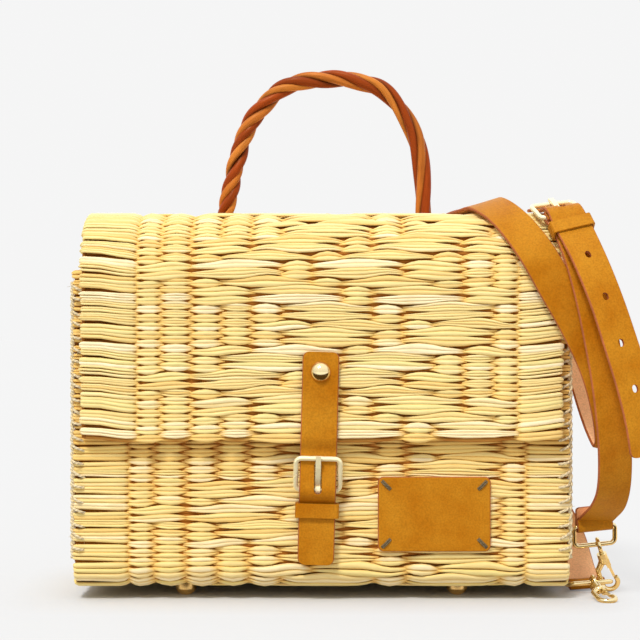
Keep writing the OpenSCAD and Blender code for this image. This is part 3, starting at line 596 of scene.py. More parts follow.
def weave_rods(surface, places, firsts, columns, half_w, rise, seed, wrap=True, extents=None, waist=WAIST,
               raised=0.0, swell=1.0):
    """Reeds woven over and under the warps, as arrays for rods_mesh, with the pick of each reed.

    waist is the height of a pick where it goes through the mat, raised how far the ends of the rows bend up,
    and swell how much wider the reeds of a pick are than on a flat mat.
    """
    thick = settings("reed").thick
    rng = np.random.default_rng(seed)
    spacing = columns[1] - columns[0]
    inner = half_w - rise
    waist, raised = (np.broadcast_to(np.reshape(value, (-1, 1)), (len(places), 1))
                     for value in (waist, raised))
    swell = np.broadcast_to(swell, len(places))
    near = min(spacing, 0.95 * (columns[0] + inner), 0.95 * (inner - columns[-1]))
    knots = np.array([-inner, columns[0] - CROSSING * near, *columns, columns[-1] + CROSSING * near, inner])
    last = len(columns) + 1
    over = pick_plan(firsts, len(columns))[:, [0, 0, *range(1, last), last, last]]
    weight = sum(lens_spread(face, knots, knots, spacing)[1] for face in (over, ~over))
    at, tall = settled(places, over, np.maximum(weight, 0.2))

    inside = [c + spacing * k / 4 for c in columns[:-1] for k in range(4)] + [columns[-1]]
    steps = near * STATIONS
    where = np.array([-inner, (columns[0] - steps[-1] - inner) / 2, *(columns[0] - steps[::-1]), *inside,
                      *(columns[-1] + steps), (columns[-1] + steps[-1] + inner) / 2, inner])
    cell = np.clip(np.searchsorted(knots, where, side="right") - 1, 0, len(knots) - 2)
    t = (where - knots[cell]) / (knots[cell + 1] - knots[cell])
    ease = t * t * (3 - 2 * t)
    a, b = over[:, cell], over[:, cell + 1]
    level = 2 * (a * (1 - ease) + b * ease) - 1
    middle = at[:, cell] * (1 - ease) + at[:, cell + 1] * ease
    left, right = tall[:, cell], tall[:, cell + 1]
    height = np.where(a == b, left * (1 - ease) + right * ease, np.where(t < 0.5, left, right))
    spread = np.maximum(*(lens_spread(face, knots, where, spacing)[0] for face in (over, ~over)))
    total = waist + (np.maximum(height, waist) - waist) * spread
    border = np.clip(np.maximum(columns[0] - where, where - columns[-1]) / (0.2 * half_w), 0, 1)
    phase = rng.uniform(0, 2 * np.pi, 3)
    narrow = np.concatenate([END_WIDTH[::-1], np.ones(len(where)), END_WIDTH])

    def wander(u, v):
        """How far the rows stray from straight lines."""
        waves = ((0.35, 0.031, 0.013), (0.3, 0.052, -0.019), (0.2, 0.017, 0.008))
        return sum(far * np.sin(u / along + start + v / across)
                   for (far, along, across), start in zip(waves, phase)) * MM

    def padded(values):
        """Values along a reed, carried on over both of its ends."""
        return np.pad(values, len(END_TURN), mode="edge")

    rods = {key: [] for key in ("u", "v", "n", "wide", "thick", "tone", "shade", "pick")}
    for i in range(len(places)):
        strands = int(rng.choice([2, 3], p=[0.6, 0.4])) if i % 2 == 0 else 2
        tone = rng.uniform(0, 1)
        overhang = rng.uniform(0.7, 1.5, 2)
        room = total[i] * (1 - border * rng.uniform(0.03, 0.26)) / strands
        row = middle[i] + (PAIR_SHIFT if i // 2 % 2 else -PAIR_SHIFT) * border - raised[i] * border**2
        for j in range(strands):
            slot = j - (strands - 1) / 2
            size = rng.uniform(0.9, 1.1)
            stray = rng.normal(0, 0.10) * MM + border * rng.normal(0, 0.28) * MM
            v = padded(row + stray) + padded(slot * room) * narrow
            lift = level[i] * (rise + (0.5 - 0.18 * abs(slot)) * spread[i] * MM)
            lift = lift + slot * (1 - spread[i]) * 0.35 * MM + rng.normal(0, 0.12) * MM
            ends, u_ends = [], []
            for edge, far in zip((0, -1), overhang * (1 - 0.3 * abs(slot))):
                turned = level[i][edge] > 0 and wrap
                ends.append(lift[edge] * np.cos(END_TURN) if turned else np.full(len(END_TURN), lift[edge]))
                u_ends.append(far * rise * np.sin(END_TURN) if turned else PLAIN_END)
            u = np.concatenate([-inner - u_ends[0][::-1], where, inner + u_ends[1]])
            if extents is not None:
                low, high = extents[i]
                u = low + (u + half_w) / (2 * half_w) * (high - low)
            wide = np.maximum(STRAND_WIDTH * room * size * swell[i], LEAST_WIDTH)
            rods["u"].append(u)
            rods["v"].append(v + wander(u, v))
            rods["n"].append(np.concatenate([ends[0][::-1], lift, ends[1]]))
            rods["wide"].append(padded(wide) * (0.4 + 0.6 * narrow))
            rods["thick"].append(padded(thick * size * (0.7 + 0.3 * spread[i])))
            rods["tone"].append(np.clip(tone + rng.normal(0, 0.24), 0, 1))
            # Painted shade: browner where the pick goes under a warp and where its reeds close up
            rods["shade"].append(padded(np.clip(0.42 - 0.5 * level[i] - 0.2 * spread[i], 0, 1)))
            rods["pick"].append(i)
    rods = {key: np.array(value) for key, value in rods.items()}
    u, v, n = rods["u"], rods["v"], rods["n"]
    centre = surface(u, v, n)
    side = unit(surface(u, v + NUDGE, n) - centre)
    normal = unit(np.cross(np.gradient(centre, axis=1), side))
    if np.sum(normal * (surface(u, v, n + NUDGE) - centre)) < 0:
        normal = -normal
    rods.update(centre=centre, side=side, normal=normal)
    return rods


def woven_piece(name, rods, chosen, replaced=None):
    """One piece of the reeds whose picks are chosen."""
    k = np.isin(rods["pick"], np.flatnonzero(chosen))
    turn = np.arange(6) * (np.pi / 3)
    # Painted shade: the sides of each reed, which face its neighbours, turn gold
    shade = rods["shade"][k][:, :, None] + 0.28 * np.cos(turn) ** 4
    mesh = rods_mesh(name, *(rods[key][k] for key in ("centre", "side", "normal", "wide", "thick", "tone")),
                     shade=np.clip(shade, 0, 1))
    obj = piece(name, mesh, ["reed"])
    if replaced:
        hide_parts(replaced)
    return obj


def laid_piece(name, surface, u, v, across, wide, thick, tones):
    """Dark brown reeds laid in the middle of a mat, painted shade for its gaps. across is a small step over
    their width.
    """
    flat = np.zeros_like(u)
    centre = surface(u, v, flat)
    side = unit(surface(u + across[0], v + across[1], flat) - centre)
    normal = unit(surface(u, v, flat + NUDGE) - centre)
    mesh = rods_mesh(name, centre, side, normal, wide, np.full(u.shape, thick), tones)
    return piece(name, mesh, ["warp_reed"])


def warp_piece(name, surface, columns, low, high, stations, extra=()):
    """The warps that the reeds go round, with a cord at each edge, in the dark brown of painted shade."""
    u = np.array([*columns, *extra])[:, None] * np.ones((1, stations))
    v = np.linspace(low, high, stations)[None, :] * np.ones((len(u), 1))
    wide = np.full(u.shape, 3.0 * MM)
    wide[len(columns):] = 1.1 * MM
    return laid_piece(name, surface, u, v, (NUDGE, 0), wide, 0.8 * MM, np.linspace(0.1, 0.9, len(u)))


def shade_core_piece(name, surface, half_w, low, high):
    """Dark brown reeds along the rows in the middle of a mat: painted shade that shows through its gaps."""
    rows = max(2, round((high - low) / settings("reed").row))
    v = (low + (high - low) * (np.arange(rows) + 0.5) / rows)[:, None] * np.ones((1, 9))
    u = np.linspace(-half_w, half_w, 9)[None, :] * np.ones((rows, 1))
    wide = np.full(u.shape, 0.54 * (high - low) / rows)
    return laid_piece(name, surface, u, v, (0, NUDGE), wide, 0.3 * MM, np.linspace(0, 1, rows))


def mat_line():
    """Distance from a mat's outer face to the line that it is folded along."""
    reed = settings("reed")
    return reed.ridge + (reed.mat - reed.ridge) / 2


def lid_fold():
    """Legs, start and heading of the lid, from the back forward and down."""
    deep = mat_line()
    shoulder_y = LID_LOW.y + SHOULDER_R
    legs = [(LID_HIGH.y - shoulder_y, 0.0), ((SHOULDER_R - deep) * math.pi / 2, math.pi / 2),
            (LID_HIGH.z - SHOULDER_R - LID_LOW.z, 0.0)]
    return legs, (LID_HIGH.y, LID_HIGH.z - deep), math.pi


def body_fold():
    """Legs, start and heading of the body, from the front's top down, under and up the back."""
    deep = mat_line()
    base = BODY_LOW.z
    bend = (FOLD_R - deep) * math.pi / 2
    depth = BODY_HIGH.y - BODY_LOW.y
    legs = [(FRONT_TOP - base - FOLD_R, 0.0), (bend, math.pi / 2), (depth - 2 * FOLD_R, 0.0),
            (bend, math.pi / 2), (BODY_HIGH.z - base - FOLD_R, 0.0)]
    return legs, (BODY_LOW.y + deep, FRONT_TOP), 1.5 * math.pi


def hinge_low():
    """Height at which the back starts to bend into the lid."""
    return LID_HIGH.z - mat_line() - HINGE_BEND


def warp_columns(half_w):
    reed = settings("reed")
    return list(np.linspace(reed.left - half_w, half_w - reed.right, WARPS))


# Leather

LEATHER = ["leather_grain", "leather_flesh", "leather_edge"]
GRAIN, FLESH, EDGE = range(3)
PROFILE = [(-0.95, 1.0, GRAIN), (-0.5, 1.0, GRAIN), (0.0, 1.0, GRAIN), (0.5, 1.0, GRAIN), (0.95, 1.0, EDGE),
           (1.0, 0.5, EDGE), (1.0, -0.5, EDGE), (0.95, -1.0, FLESH), (0.5, -1.0, FLESH), (0.0, -1.0, FLESH),
           (-0.5, -1.0, FLESH), (-0.95, -1.0, EDGE), (-1.0, -0.5, EDGE), (-1.0, 0.5, EDGE)]
CREASE = math.radians(40)
TIP_CORNER = 4 * MM
ROUND_HOLE, PRONG_SLOT = (3.6 * MM, 4.8 * MM, 8 * MM), (4.6 * MM, 19 * MM, 12 * MM)


def rounded_half(distance, width, corner):
    """Half width of a strap at a distance from its end, with a rounded corner."""
    d = np.clip(distance, 0, corner)
    return width / 2 - corner + np.sqrt(np.maximum(corner**2 - (corner - d) ** 2, 0))


def strap_stations(length, step, corners):
    """Lengths along a strap, closer together at rounded ends."""
    count = max(2, int(length / step))
    where = list(np.linspace(0, length, count + 1))
    for end, corner in zip((0, 1), corners):
        for share in (0.03, 0.12, 0.3, 0.6):
            where.append(corner * share if end == 0 else length - corner * share)
    return np.unique(np.round(where, 7))


def shell_mesh(name, rings, kinds=None, closed=False, smooth=True):
    """A closed mesh over rings of points. A closed row of rings has no caps.

    kinds are the materials of the walls, ring by ring, and then of the two caps.
    """
    n, k = rings.shape[:2]
    index = np.arange(n * k).reshape(n, k)
    start = index if closed else index[:-1]
    ahead = np.roll(index, -1, axis=0)[: len(start)]
    walls = np.stack([start, ahead, np.roll(ahead, -1, axis=1), np.roll(start, -1, axis=1)], axis=-1)
    faces = walls.reshape(-1, 4).tolist()
    if not closed:
        faces += [index[0].tolist(), index[-1][::-1].tolist()]
    mesh = bpy.data.meshes.new(name)
    mesh.from_pydata(rings.reshape(-1, 3).tolist(), [], faces)
    if kinds is not None:
        mesh.polygons.foreach_set("material_index", np.array(kinds, np.int32))
    mesh.polygons.foreach_set("use_smooth", np.full(len(faces), smooth))
    outward(mesh)
    return mesh


def ribbon_mesh(name, points, facing, width, thick, step, corners):
    """A closed leather strip along dense points. facing is the way that its grain side looks."""
    along = lengths_along(points)
    where = strap_stations(along[-1], step, corners)
    line, face = at_lengths(points, along, where), at_lengths(facing, along, where)
    d = tangents(line)
    across = unit(np.cross(d, face))
    normal = np.cross(across, d)
    half = np.full(len(where), width / 2)
    for corner, distance in ((corners[0], where), (corners[1], along[-1] - where)):
        if corner > 0:
            half = np.minimum(half, rounded_half(distance, width, corner))
    u, v, kinds = zip(*PROFILE)
    rings = (line[:, None] + across[:, None] * (half[:, None] * u)[..., None]
             + normal[:, None] * (thick / 2 * np.array(v))[None, :, None])
    return shell_mesh(name, rings, [*kinds * (len(where) - 1), EDGE, EDGE])


def outward(mesh):
    """Turns all faces of a closed mesh outward."""
    work = bmesh.new()
    work.from_mesh(mesh)
    bmesh.ops.recalc_face_normals(work, faces=work.faces)
    work.to_mesh(mesh)
    work.free()


def crisp(obj):
    """Smooth faces with creases kept at the edges of a strip."""
    work = bmesh.new()
    work.from_mesh(obj.data)
    for edge in work.edges:
        edge.smooth = edge.calc_face_angle(0.0) < CREASE
    work.to_mesh(obj.data)
    work.free()


def plug_rings(matrix, width, height, depth):
    """The two outlines of a long round-ended plug along Y, for a hole in leather."""
    half = np.linspace(0, math.pi, 11)
    outline = [(width / 2 * math.cos(a), width / 2 * math.sin(a) + end * (height - width) / 2)
               for end, turn in ((1, half), (-1, half + math.pi)) for a in turn]
    return np.array([[matrix @ Vector((x, y, z)) for x, z in outline] for y in (-depth / 2, depth / 2)])


def punch(obj, cutters):
    """Cuts holes through a strip. cutters are (matrix, width, height, depth)."""
    mesh = bpy.data.meshes.new("punch")
    joined = bmesh.new()
    for cutter in cutters:
        plug = shell_mesh("plug", plug_rings(*cutter), smooth=False)
        joined.from_mesh(plug)
        bpy.data.meshes.remove(plug)
    joined.to_mesh(mesh)
    joined.free()
    for material in obj.data.materials:
        mesh.materials.append(material)
    mesh.polygons.foreach_set("material_index", np.full(len(mesh.polygons), EDGE, np.int32))
    tool = bpy.data.objects.new("punch", mesh)
    bpy.context.scene.collection.objects.link(tool)
    cut = obj.modifiers.new("holes", "BOOLEAN")
    cut.operation, cut.solver, cut.object = "DIFFERENCE", "EXACT", tool
    bpy.context.view_layer.update()
    shaped = bpy.data.meshes.new_from_object(obj.evaluated_get(bpy.context.evaluated_depsgraph_get()))
    obj.modifiers.clear()
    old = obj.data
    shaped.name = old.name
    obj.data = shaped
    bpy.data.objects.remove(tool)
    bpy.data.meshes.remove(mesh)
    bpy.data.meshes.remove(old)


def strip(name, points, facing, width, thick, step=3 * MM, corners=(0, 0), holes=()):
    """A piece of strap with its holes."""
    obj = piece(name, ribbon_mesh(name, points, facing, width, thick, step, corners), LEATHER)
    if holes:
        punch(obj, holes)
    crisp(obj)
    return obj


def frame_at(place, z_axis, x_axis):
    """A matrix at a place, with its Z axis and X axis turned as given."""
    z = Vector(z_axis).normalized()
    y = z.cross(Vector(x_axis)).normalized()
    x = y.cross(z)
    turned = Matrix((x, y, z)).transposed().to_4x4()
    return Matrix.Translation(Vector(place)) @ turned


def metres(point):
    return Vector(point) * MM


# Routes of the long and the short strap: x, y and z in mm, then the way that the grain side faces.
# The long one runs from its tip through the buckle, in a loop over the lid, down the back and to the floor.
LONG_ROUTE = np.array([
    [190, -84, 91, 0.25, -1, 0], [187, -85, 109, 0.3, -1, 0], [182, -85, 130, 0.3, -1, 0.1],
    [175, -83, 154, 0.3, -1, 0.2], [167, -78, 181, 0.3, -1, 0.35], [158.5, -69, 206, 0.2, -1, 0.6],
    [150, -54, 228.6, -0.05, -0.7, 0.75], [146.1, -47.4, 238.1, -0.04, -0.45, 0.9],
    [144.4, -37, 238.6, -0.1, -0.3, 0.95], [143.1, -30.6, 238.2, -0.1, -0.25, 0.97],
    [141.9, -24, 239.3, -0.1, -0.2, 1], [141, -10, 239.6, -0.08, 0, 1], [143, 4, 240.2, 0, 0.1, 1],
    [150, 15, 242, 0.2, 0.2, 1], [160, 22, 236, 0.5, 0.7, 0.6], [166, 25, 220, 0.3, 0.95, 0.1],
    [167, 23, 195, 0.1, 1, -0.1], [165, 17, 170, -0.15, 1, -0.3], [165.5, 6, 146, -0.25, 0.9, -0.45],
    [169, -8, 122, -0.3, 0.8, -0.5], [173, -25, 101, -0.3, 0.5, -0.8], [175.5, -41, 91, -0.25, -0.1, -1],
    [175.5, -54, 98, -0.1, -0.85, -0.5], [172, -60, 117, 0, -1, -0.1], [165, -62.4, 141, 0, -1, 0],
    [153.5, -62.6, 166, 0, -1, 0.05], [140.5, -62.2, 189, 0, -1, 0.15], [127.5, -58.4, 212, 0, -0.92, 0.4],
    [114, -45, 231.4, -0.12, -0.6, 0.78], [102.5, -24, 242, -0.3, -0.12, 0.93],
    [97, -4, 240.4, -0.15, 0, 1], [94, 18, 239, 0, 0, 1], [92, 44, 239, 0, 0, 1],
    [91.5, 59, 239.3, 0, 0.1, 1], [91.5, 67, 239, 0, 0.55, 0.85], [91.6, 70, 234, 0, 0.95, 0.3],
    [92.5, 69.6, 216, 0, 1, 0], [97, 68.6, 185, 0, 1, 0], [105, 68.6, 150, 0, 1, 0],
    [115, 69, 116, 0, 1, 0], [128, 70.5, 86, 0.1, 1, -0.05], [144, 71.5, 60, 0.45, 0.88, -0.15],
    [158.4, 65.5, 40, 0.62, 0.7, -0.35], [163.4, 49.5, 27, 0.42, 0.6, -0.65],
    [164.5, 29, 17.5, 0.05, 0.5, -0.85], [165, 12, 10.5, -0.1, 0.4, -0.9],
    [166.2, -1, 5.6, -0.08, 0.25, -1], [166.6, -7.5, 3.4, -0.06, 0.2, -1]])
SHORT_ROUTE = np.array([
    [168.4, -29.5, 46.5, 0.1, -0.9, -0.5], [170, -38, 50.5, 0.1, -0.75, -0.65],
    [173, -50, 58, 0.15, -0.8, -0.5], [174.5, -60, 70, 0.3, -0.9, -0.3], [174, -67, 88, 0.35, -1, -0.1],
    [172, -71, 110, 0.35, -1, 0], [169, -72, 135, 0.3, -1, 0.1], [165, -70.5, 160, 0.25, -1, 0.15],
    [160.5, -67, 185, 0.2, -1, 0.25], [155.5, -61.5, 207, 0.1, -1, 0.45],
    [149.6, -52, 226.4, -0.05, -0.7, 0.75], [146.4, -45.3, 232.4, -0.05, -0.55, 0.84]])
HINGE_POINT = 35
HOLES_FROM_TIP = [38.7, 65.0, 93.6, 122.9]
ROUTE_STEPS = 10
# Bars that a strap is folded round: the middle, the way to the frame's other bar, and the way along the bar
STRAP_HEEL, STRAP_TOE = (146.2, -44.6, 233.3), (141.8, -25.4, 242.2)
STRAP_BAR = (metres(STRAP_HEEL), np.subtract(STRAP_TOE, STRAP_HEEL), (0.985, 0.12, 0.1))
UPPER_BAR = (metres((168.2, -29, 43.2)), (0.06, 0.25, -0.97), (0.98, 0.1, 0.12))
LOWER_BAR = (metres((166.7, -10.6, 4.6)), (0.05, -0.98, 0.19), (0.98, 0.06, 0.06))
FRAME_HALF, FRAME_H, END_RING_H = 13.3 * MM, 20 * MM, 12.5 * MM


def route_line(route):
    """Dense points in metres and grain directions of a route."""
    return smooth_curve(route[:, :3] * MM, ROUTE_STEPS), smooth_curve(route[:, 3:], ROUTE_STEPS)


# Operators


class SATCHEL_OT_stage(bpy.types.Operator):
    """Sets up the camera, the pale floor and soft light."""

    bl_idname = "satchel.stage"
    bl_label = "Stage"

    def execute(self, context):
        stage = settings("stage")
        lens = bpy.data.cameras.new("camera")
        lens.lens, lens.sensor_width = stage.lens, 36.0
        lens.clip_start, lens.clip_end = 0.01, 50.0
        camera = bpy.data.objects.new("camera", lens)
        camera.location = stage.eye
        camera.rotation_euler = (math.pi / 2, 0, 0)
        context.scene.collection.objects.link(camera)
        context.scene.camera = camera
        context.scene.view_settings.view_transform = "Standard"
        self.floor(context, stage)
        self.light(context, stage)
        return {"FINISHED"}

    def floor(self, context, stage):
        mesh = bpy.data.meshes.new("floor")
        reach = 12.0
        corners = [(reach * x, reach * y, 0) for x, y in ((-1, -1), (1, -1), (1, 1), (-1, 1))]
        mesh.from_pydata(corners, [], [(0, 1, 2, 3)])
        material, tree, main, add = shader("pale_floor")
        where = add("ShaderNodeTexCoord").outputs["Object"]
        cloud = add("ShaderNodeTexNoise", [("Vector", where)], Scale=3.0, Detail=3.0)
        pale = ramp(add, cloud.outputs["Fac"], [(0.2, stage.floor * 0.99), (0.8, stage.floor * 1.01)])
        path = add("ShaderNodeLightPath")
        # A dark strip on the floor in front, which only metal mirrors
        ahead = add("ShaderNodeSeparateXYZ", [("Vector", where)]).outputs["Y"]
        place = add("ShaderNodeMapRange", [("Value", ahead)], **{"From Min": -1.3, "From Max": 0.0})
        dark = (0.06, 0.035, 0.012)
        mirrored = ramp(add, place.outputs[0], [(0.0, 0.85), (0.70, 0.85), (0.77, dark), (0.95, dark),
                                                (0.96, (0.75, 0.6, 0.4))])
        # Away from the bag, the camera sees part of the floor as pale ground
        away = where
        for operation, value in (("SUBTRACT", (0, 8 * MM, 0)), ("ABSOLUTE", (0, 0, 0)),
                                 ("SUBTRACT", (150 * MM, 58 * MM, 0)), ("MAXIMUM", (0, 0, 0)),
                                 ("LENGTH", (0, 0, 0))):
            node = add("ShaderNodeVectorMath", [(0, away)], operation=operation)
            node.inputs[1].default_value = value
            away = node.outputs["Value" if operation == "LENGTH" else "Vector"]
        share = add("ShaderNodeMapRange", [("Value", away)], **{"From Max": 45 * MM, "To Max": stage.ground})
        seen = add("ShaderNodeMath", [(0, share.outputs[0]), (1, path.outputs["Is Camera Ray"])],
                   operation="MULTIPLY")
        lit = mixed(add, path.outputs["Is Glossy Ray"], pale, mirrored)
        tree.links.new(mixed(add, seen.outputs[0], lit, (0.0, 0.0, 0.0, 1.0)), main.inputs["Base Color"])
        glow = add("ShaderNodeMath", [(0, seen.outputs[0])], operation="MULTIPLY")
        glow.inputs[1].default_value = stage.backdrop
        main.inputs["Emission Color"].default_value = (1.0, 1.0, 1.0, 1.0)
        tree.links.new(glow.outputs[0], main.inputs["Emission Strength"])
        main.inputs["Roughness"].default_value = 0.9
        main.inputs["Specular IOR Level"].default_value = 0.0
        mesh.materials.append(material)
        floor = bpy.data.objects.new("floor", mesh)
        context.scene.collection.objects.link(floor)

    def light(self, context, stage):
        world = bpy.data.worlds.new("soft_room")
        world.use_nodes = True
        context.scene.world = world
        tree = world.node_tree
        tree.nodes.clear()
        seen, soft, shown = (tree.nodes.new("ShaderNodeBackground") for _ in range(3))
        level = stage.backdrop
        seen.inputs["Color"].default_value = (level, level, level, 1)
        way, split = tree.nodes.new("ShaderNodeTexCoord"), tree.nodes.new("ShaderNodeSeparateXYZ")
        tree.links.new(way.outputs["Generated"], split.inputs[0])
        for ground, low, high in ((soft, stage.sky_low, stage.sky_high), (shown, 0.95, 1.3)):
            rise = tree.nodes.new("ShaderNodeMapRange")
            rise.inputs["To Min"].default_value, rise.inputs["To Max"].default_value = low, high
            tree.links.new(split.outputs["Z"], rise.inputs["Value"])
            tree.links.new(rise.outputs[0], ground.inputs["Strength"])
            ground.inputs["Color"].default_value = (1, 1, 1, 1)
        path = tree.nodes.new("ShaderNodeLightPath")
        first, second = tree.nodes.new("ShaderNodeMixShader"), tree.nodes.new("ShaderNodeMixShader")
        out = tree.nodes.new("ShaderNodeOutputWorld")
        for mix, ray, common, special in ((first, "Is Glossy Ray", soft, shown),
                                          (second, "Is Camera Ray", first, seen)):
            for k, source in enumerate((path.outputs[ray], common.outputs[0], special.outputs[0])):
                tree.links.new(source, mix.inputs[k])
        tree.links.new(second.outputs[0], out.inputs["Surface"])
        lamp = bpy.data.lights.new("sun", "SUN")
        lamp.energy, lamp.angle = stage.sun, math.radians(12)
        sun = bpy.data.objects.new("sun", lamp)
        sun.rotation_euler = Vector(stage.sun_from).to_track_quat("Z", "Y").to_euler()
        context.scene.collection.objects.link(sun)


CORNERS = ((1, 1), (-1, 1), (-1, -1), (1, -1))    # In the order in which an outline passes them


def wire_frame(node, place, half, height, material):
    """A closed frame of bent wire in the node's place: bars along X at 0 and at height along Z."""
    wire, corner, steps, sides = settings("trim").wire_r, 3.2 * MM, 8, 14
    turn = [2 * math.pi * j / sides for j in range(sides)]
    rings = []
    for k, (sx, sz) in enumerate(CORNERS):
        middle = Vector((sx * (half - corner), 0, height - corner if sz > 0 else corner))
        for i in range(steps + 1):
            a = math.pi / 2 * (k + i / steps)
            out = Vector((math.cos(a), 0, math.sin(a)))
            rings.append([place @ (middle + out * (corner + wire * math.cos(t))
                                   + Vector((0, wire * math.sin(t), 0))) for t in turn])
    mesh = shell_mesh(node + "_wire", np.array(rings), closed=True)
    obj = piece(node + "_wire", mesh, [material])
    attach(obj, BODY_OF[node])
    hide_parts(node)
    return obj


class SATCHEL_OT_shoulder_strap(bpy.types.Operator):
    """Lays the long and the short strap, with their folded ends, end rings and buckle frame."""

    bl_idname = "satchel.shoulder_strap"
    bl_label = "Shoulder strap"

    def execute(self, context):
        leather = settings("leather")
        width, thick = leather.strap_w, leather.strap_t
        cut = HINGE_POINT * ROUTE_STEPS
        points, facing = route_line(LONG_ROUTE)
        front = strip("long_strap_over_lid", points[: cut + 1], facing[: cut + 1], width, thick,
                      corners=(TIP_CORNER, 0), holes=self.holes(points, facing))
        back = strip("long_strap_down_back", points[cut:], facing[cut:], width, thick)
        short_points, short_facing = route_line(SHORT_ROUTE)
        short = strip("short_strap_piece", short_points, short_facing, width, thick)
        upper = self.fold("short_strap_fold", UPPER_BAR, short_facing[0], width)
        lower = self.fold("long_strap_fold", LOWER_BAR, facing[-1], width)
        loops = [self.fold("heel_loop_%s" % side, STRAP_BAR, (-0.04, -0.45, 0.9), 8.7 * MM, shift, 10 * MM)
                 for side, shift in (("left", -6.75), ("right", 6.75))]
        ring_half = width / 2 + 0.3 * MM + settings("trim").wire_r
        upper_ring = wire_frame("upper_end_ring", frame_at(*UPPER_BAR), ring_half, END_RING_H, "gold")
        lower_ring = wire_frame("lower_end_ring", frame_at(*LOWER_BAR), ring_half, END_RING_H, "gold")
        wire_frame("strap_buckle_frame", frame_at(*STRAP_BAR), FRAME_HALF, FRAME_H, "pale_gold")
        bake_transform(front)
        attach(back, "bag")
        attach(lower, "bag")
        for obj in (short, upper, *loops):
            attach(obj, "lid")
        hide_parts("long_strap")
        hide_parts("long_strap")
        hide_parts("short_strap")
        return {"FINISHED"}

    def holes(self, points, facing):
        """Punched holes of the long piece and the slot that the prong goes through."""
        along = lengths_along(points)
        made = []
        for distance in HOLES_FROM_TIP:
            i = int(np.searchsorted(along, distance * MM))
            way = points[i + 1] - points[i - 1]
            across = np.cross(way, facing[i])
            made.append((frame_at(points[i], way, across), *ROUND_HOLE))
        slot = frame_at(*STRAP_BAR) @ Matrix.Translation((0, -4 * MM, 8.5 * MM))
        return [*made, (slot, *PRONG_SLOT)]

    def fold(self, name, bar, grain, width, shift=0.0, tail=12 * MM):
        """The end of a strap turned round a bar, with its tail laid back on the flesh side."""
        t = 1.8 * MM
        r = 1.7 * MM + t / 2
        turn = np.linspace(math.pi, 0, 14)
        y = [-1.95 * MM, -1.95 * MM, -2.2 * MM, *(r * np.cos(turn)), 1.6 * MM, 0.5 * MM]
        z = [-tail, -7 * MM, -3 * MM, *(r * np.sin(turn)), -2.6 * MM, -5 * MM]
        place = frame_at(*bar)
        sign = 1.0 if Vector(grain).dot(place.col[1].to_3d()) > 0 else -1.0
        line = smooth_curve([place @ Vector((shift * MM, sign * b, c)) for b, c in zip(y, z)], 4)
        axis = np.array(place.col[0].to_3d())
        middle = np.array(bar[0]) + axis * shift * MM
        face = np.cross(tangents(line), axis)
        if np.sum(face[20:40] * (line[20:40] - middle)) < 0:
            face = -face
        return strip(name, line, face, width, t, 1.2 * MM, (2 * MM, 0))


class SATCHEL_OT_lid(bpy.types.Operator):
    """Weaves the lid and the bend that joins it to the back."""

    bl_idname = "satchel.lid"
    bl_label = "Lid weave"

    FLOATS_Z = 136 * MM    # Height at which the long floats start to wander
    RAISED = 2.6 * MM      # How far the ends of the rows bend up
    BEND_SWELL = 1.1       # How much wider the reeds are round the shoulder
    SEED, HINGE_SEED = 11, 13

    def execute(self, context):
        reed = settings("reed")
        legs, start, heading = lid_fold()
        surface = mat_surface(legs, start, heading)
        total = sum(leg[0] for leg in legs)
        columns = warp_columns(LID_HIGH.x)
        places = pick_places(legs)
        firsts = float_starts(places, total - (self.FLOATS_Z - LID_LOW.z))
        raised = self.RAISED * np.clip((places - legs[0][0]) / legs[1][0], 0, 1)
        round_it = (places > legs[0][0]) & (places < legs[0][0] + legs[1][0])
        rods = weave_rods(surface, places, firsts, columns, LID_HIGH.x, reed.rise, self.SEED, raised=raised,
                          swell=np.where(round_it, self.BEND_SWELL, 1.0))
        begin = LID_HIGH.y - (BODY_HIGH.y - mat_line() - HINGE_BEND)
        middle = legs[0][0] + legs[1][0] * 0.6
        for name, chosen in (("lid_weave_top", (places > begin) & (places < middle)),
                             ("lid_weave_front", places >= middle)):
            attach(woven_piece(name, rods, chosen, "lid_mat"), "lid")
        edge = LID_HIGH.x - reed.rise
        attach(warp_piece("lid_warps", surface, columns, begin, total - 1.5 * MM, 70, (-edge, edge)), "lid")
        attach(shade_core_piece("lid_core", surface, edge - 1 * MM, begin, total - 5 * MM), "lid")
        self.hinge(columns)
        return {"FINISHED"}

    def hinge(self, columns):
        """Rows round the bend at the back's top."""
        legs = [(HINGE_BEND * math.pi / 2, math.pi / 2)]
        low = hinge_low()
        back = BODY_HIGH.y - mat_line()
        surface = mat_surface(legs, (back, low), math.pi / 2)
        places = pick_places(legs)
        firsts = [3] * (len(places) // 2)
        rods = weave_rods(surface, places, firsts, columns, LID_HIGH.x, settings("reed").rise,
                          self.HINGE_SEED)
        mat = woven_piece("hinge_weave", rods, places > -1)
        warps = warp_piece("hinge_warps", surface, columns, 0.0, legs[0][0], 8)
        for obj in (mat, warps):
            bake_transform(obj)


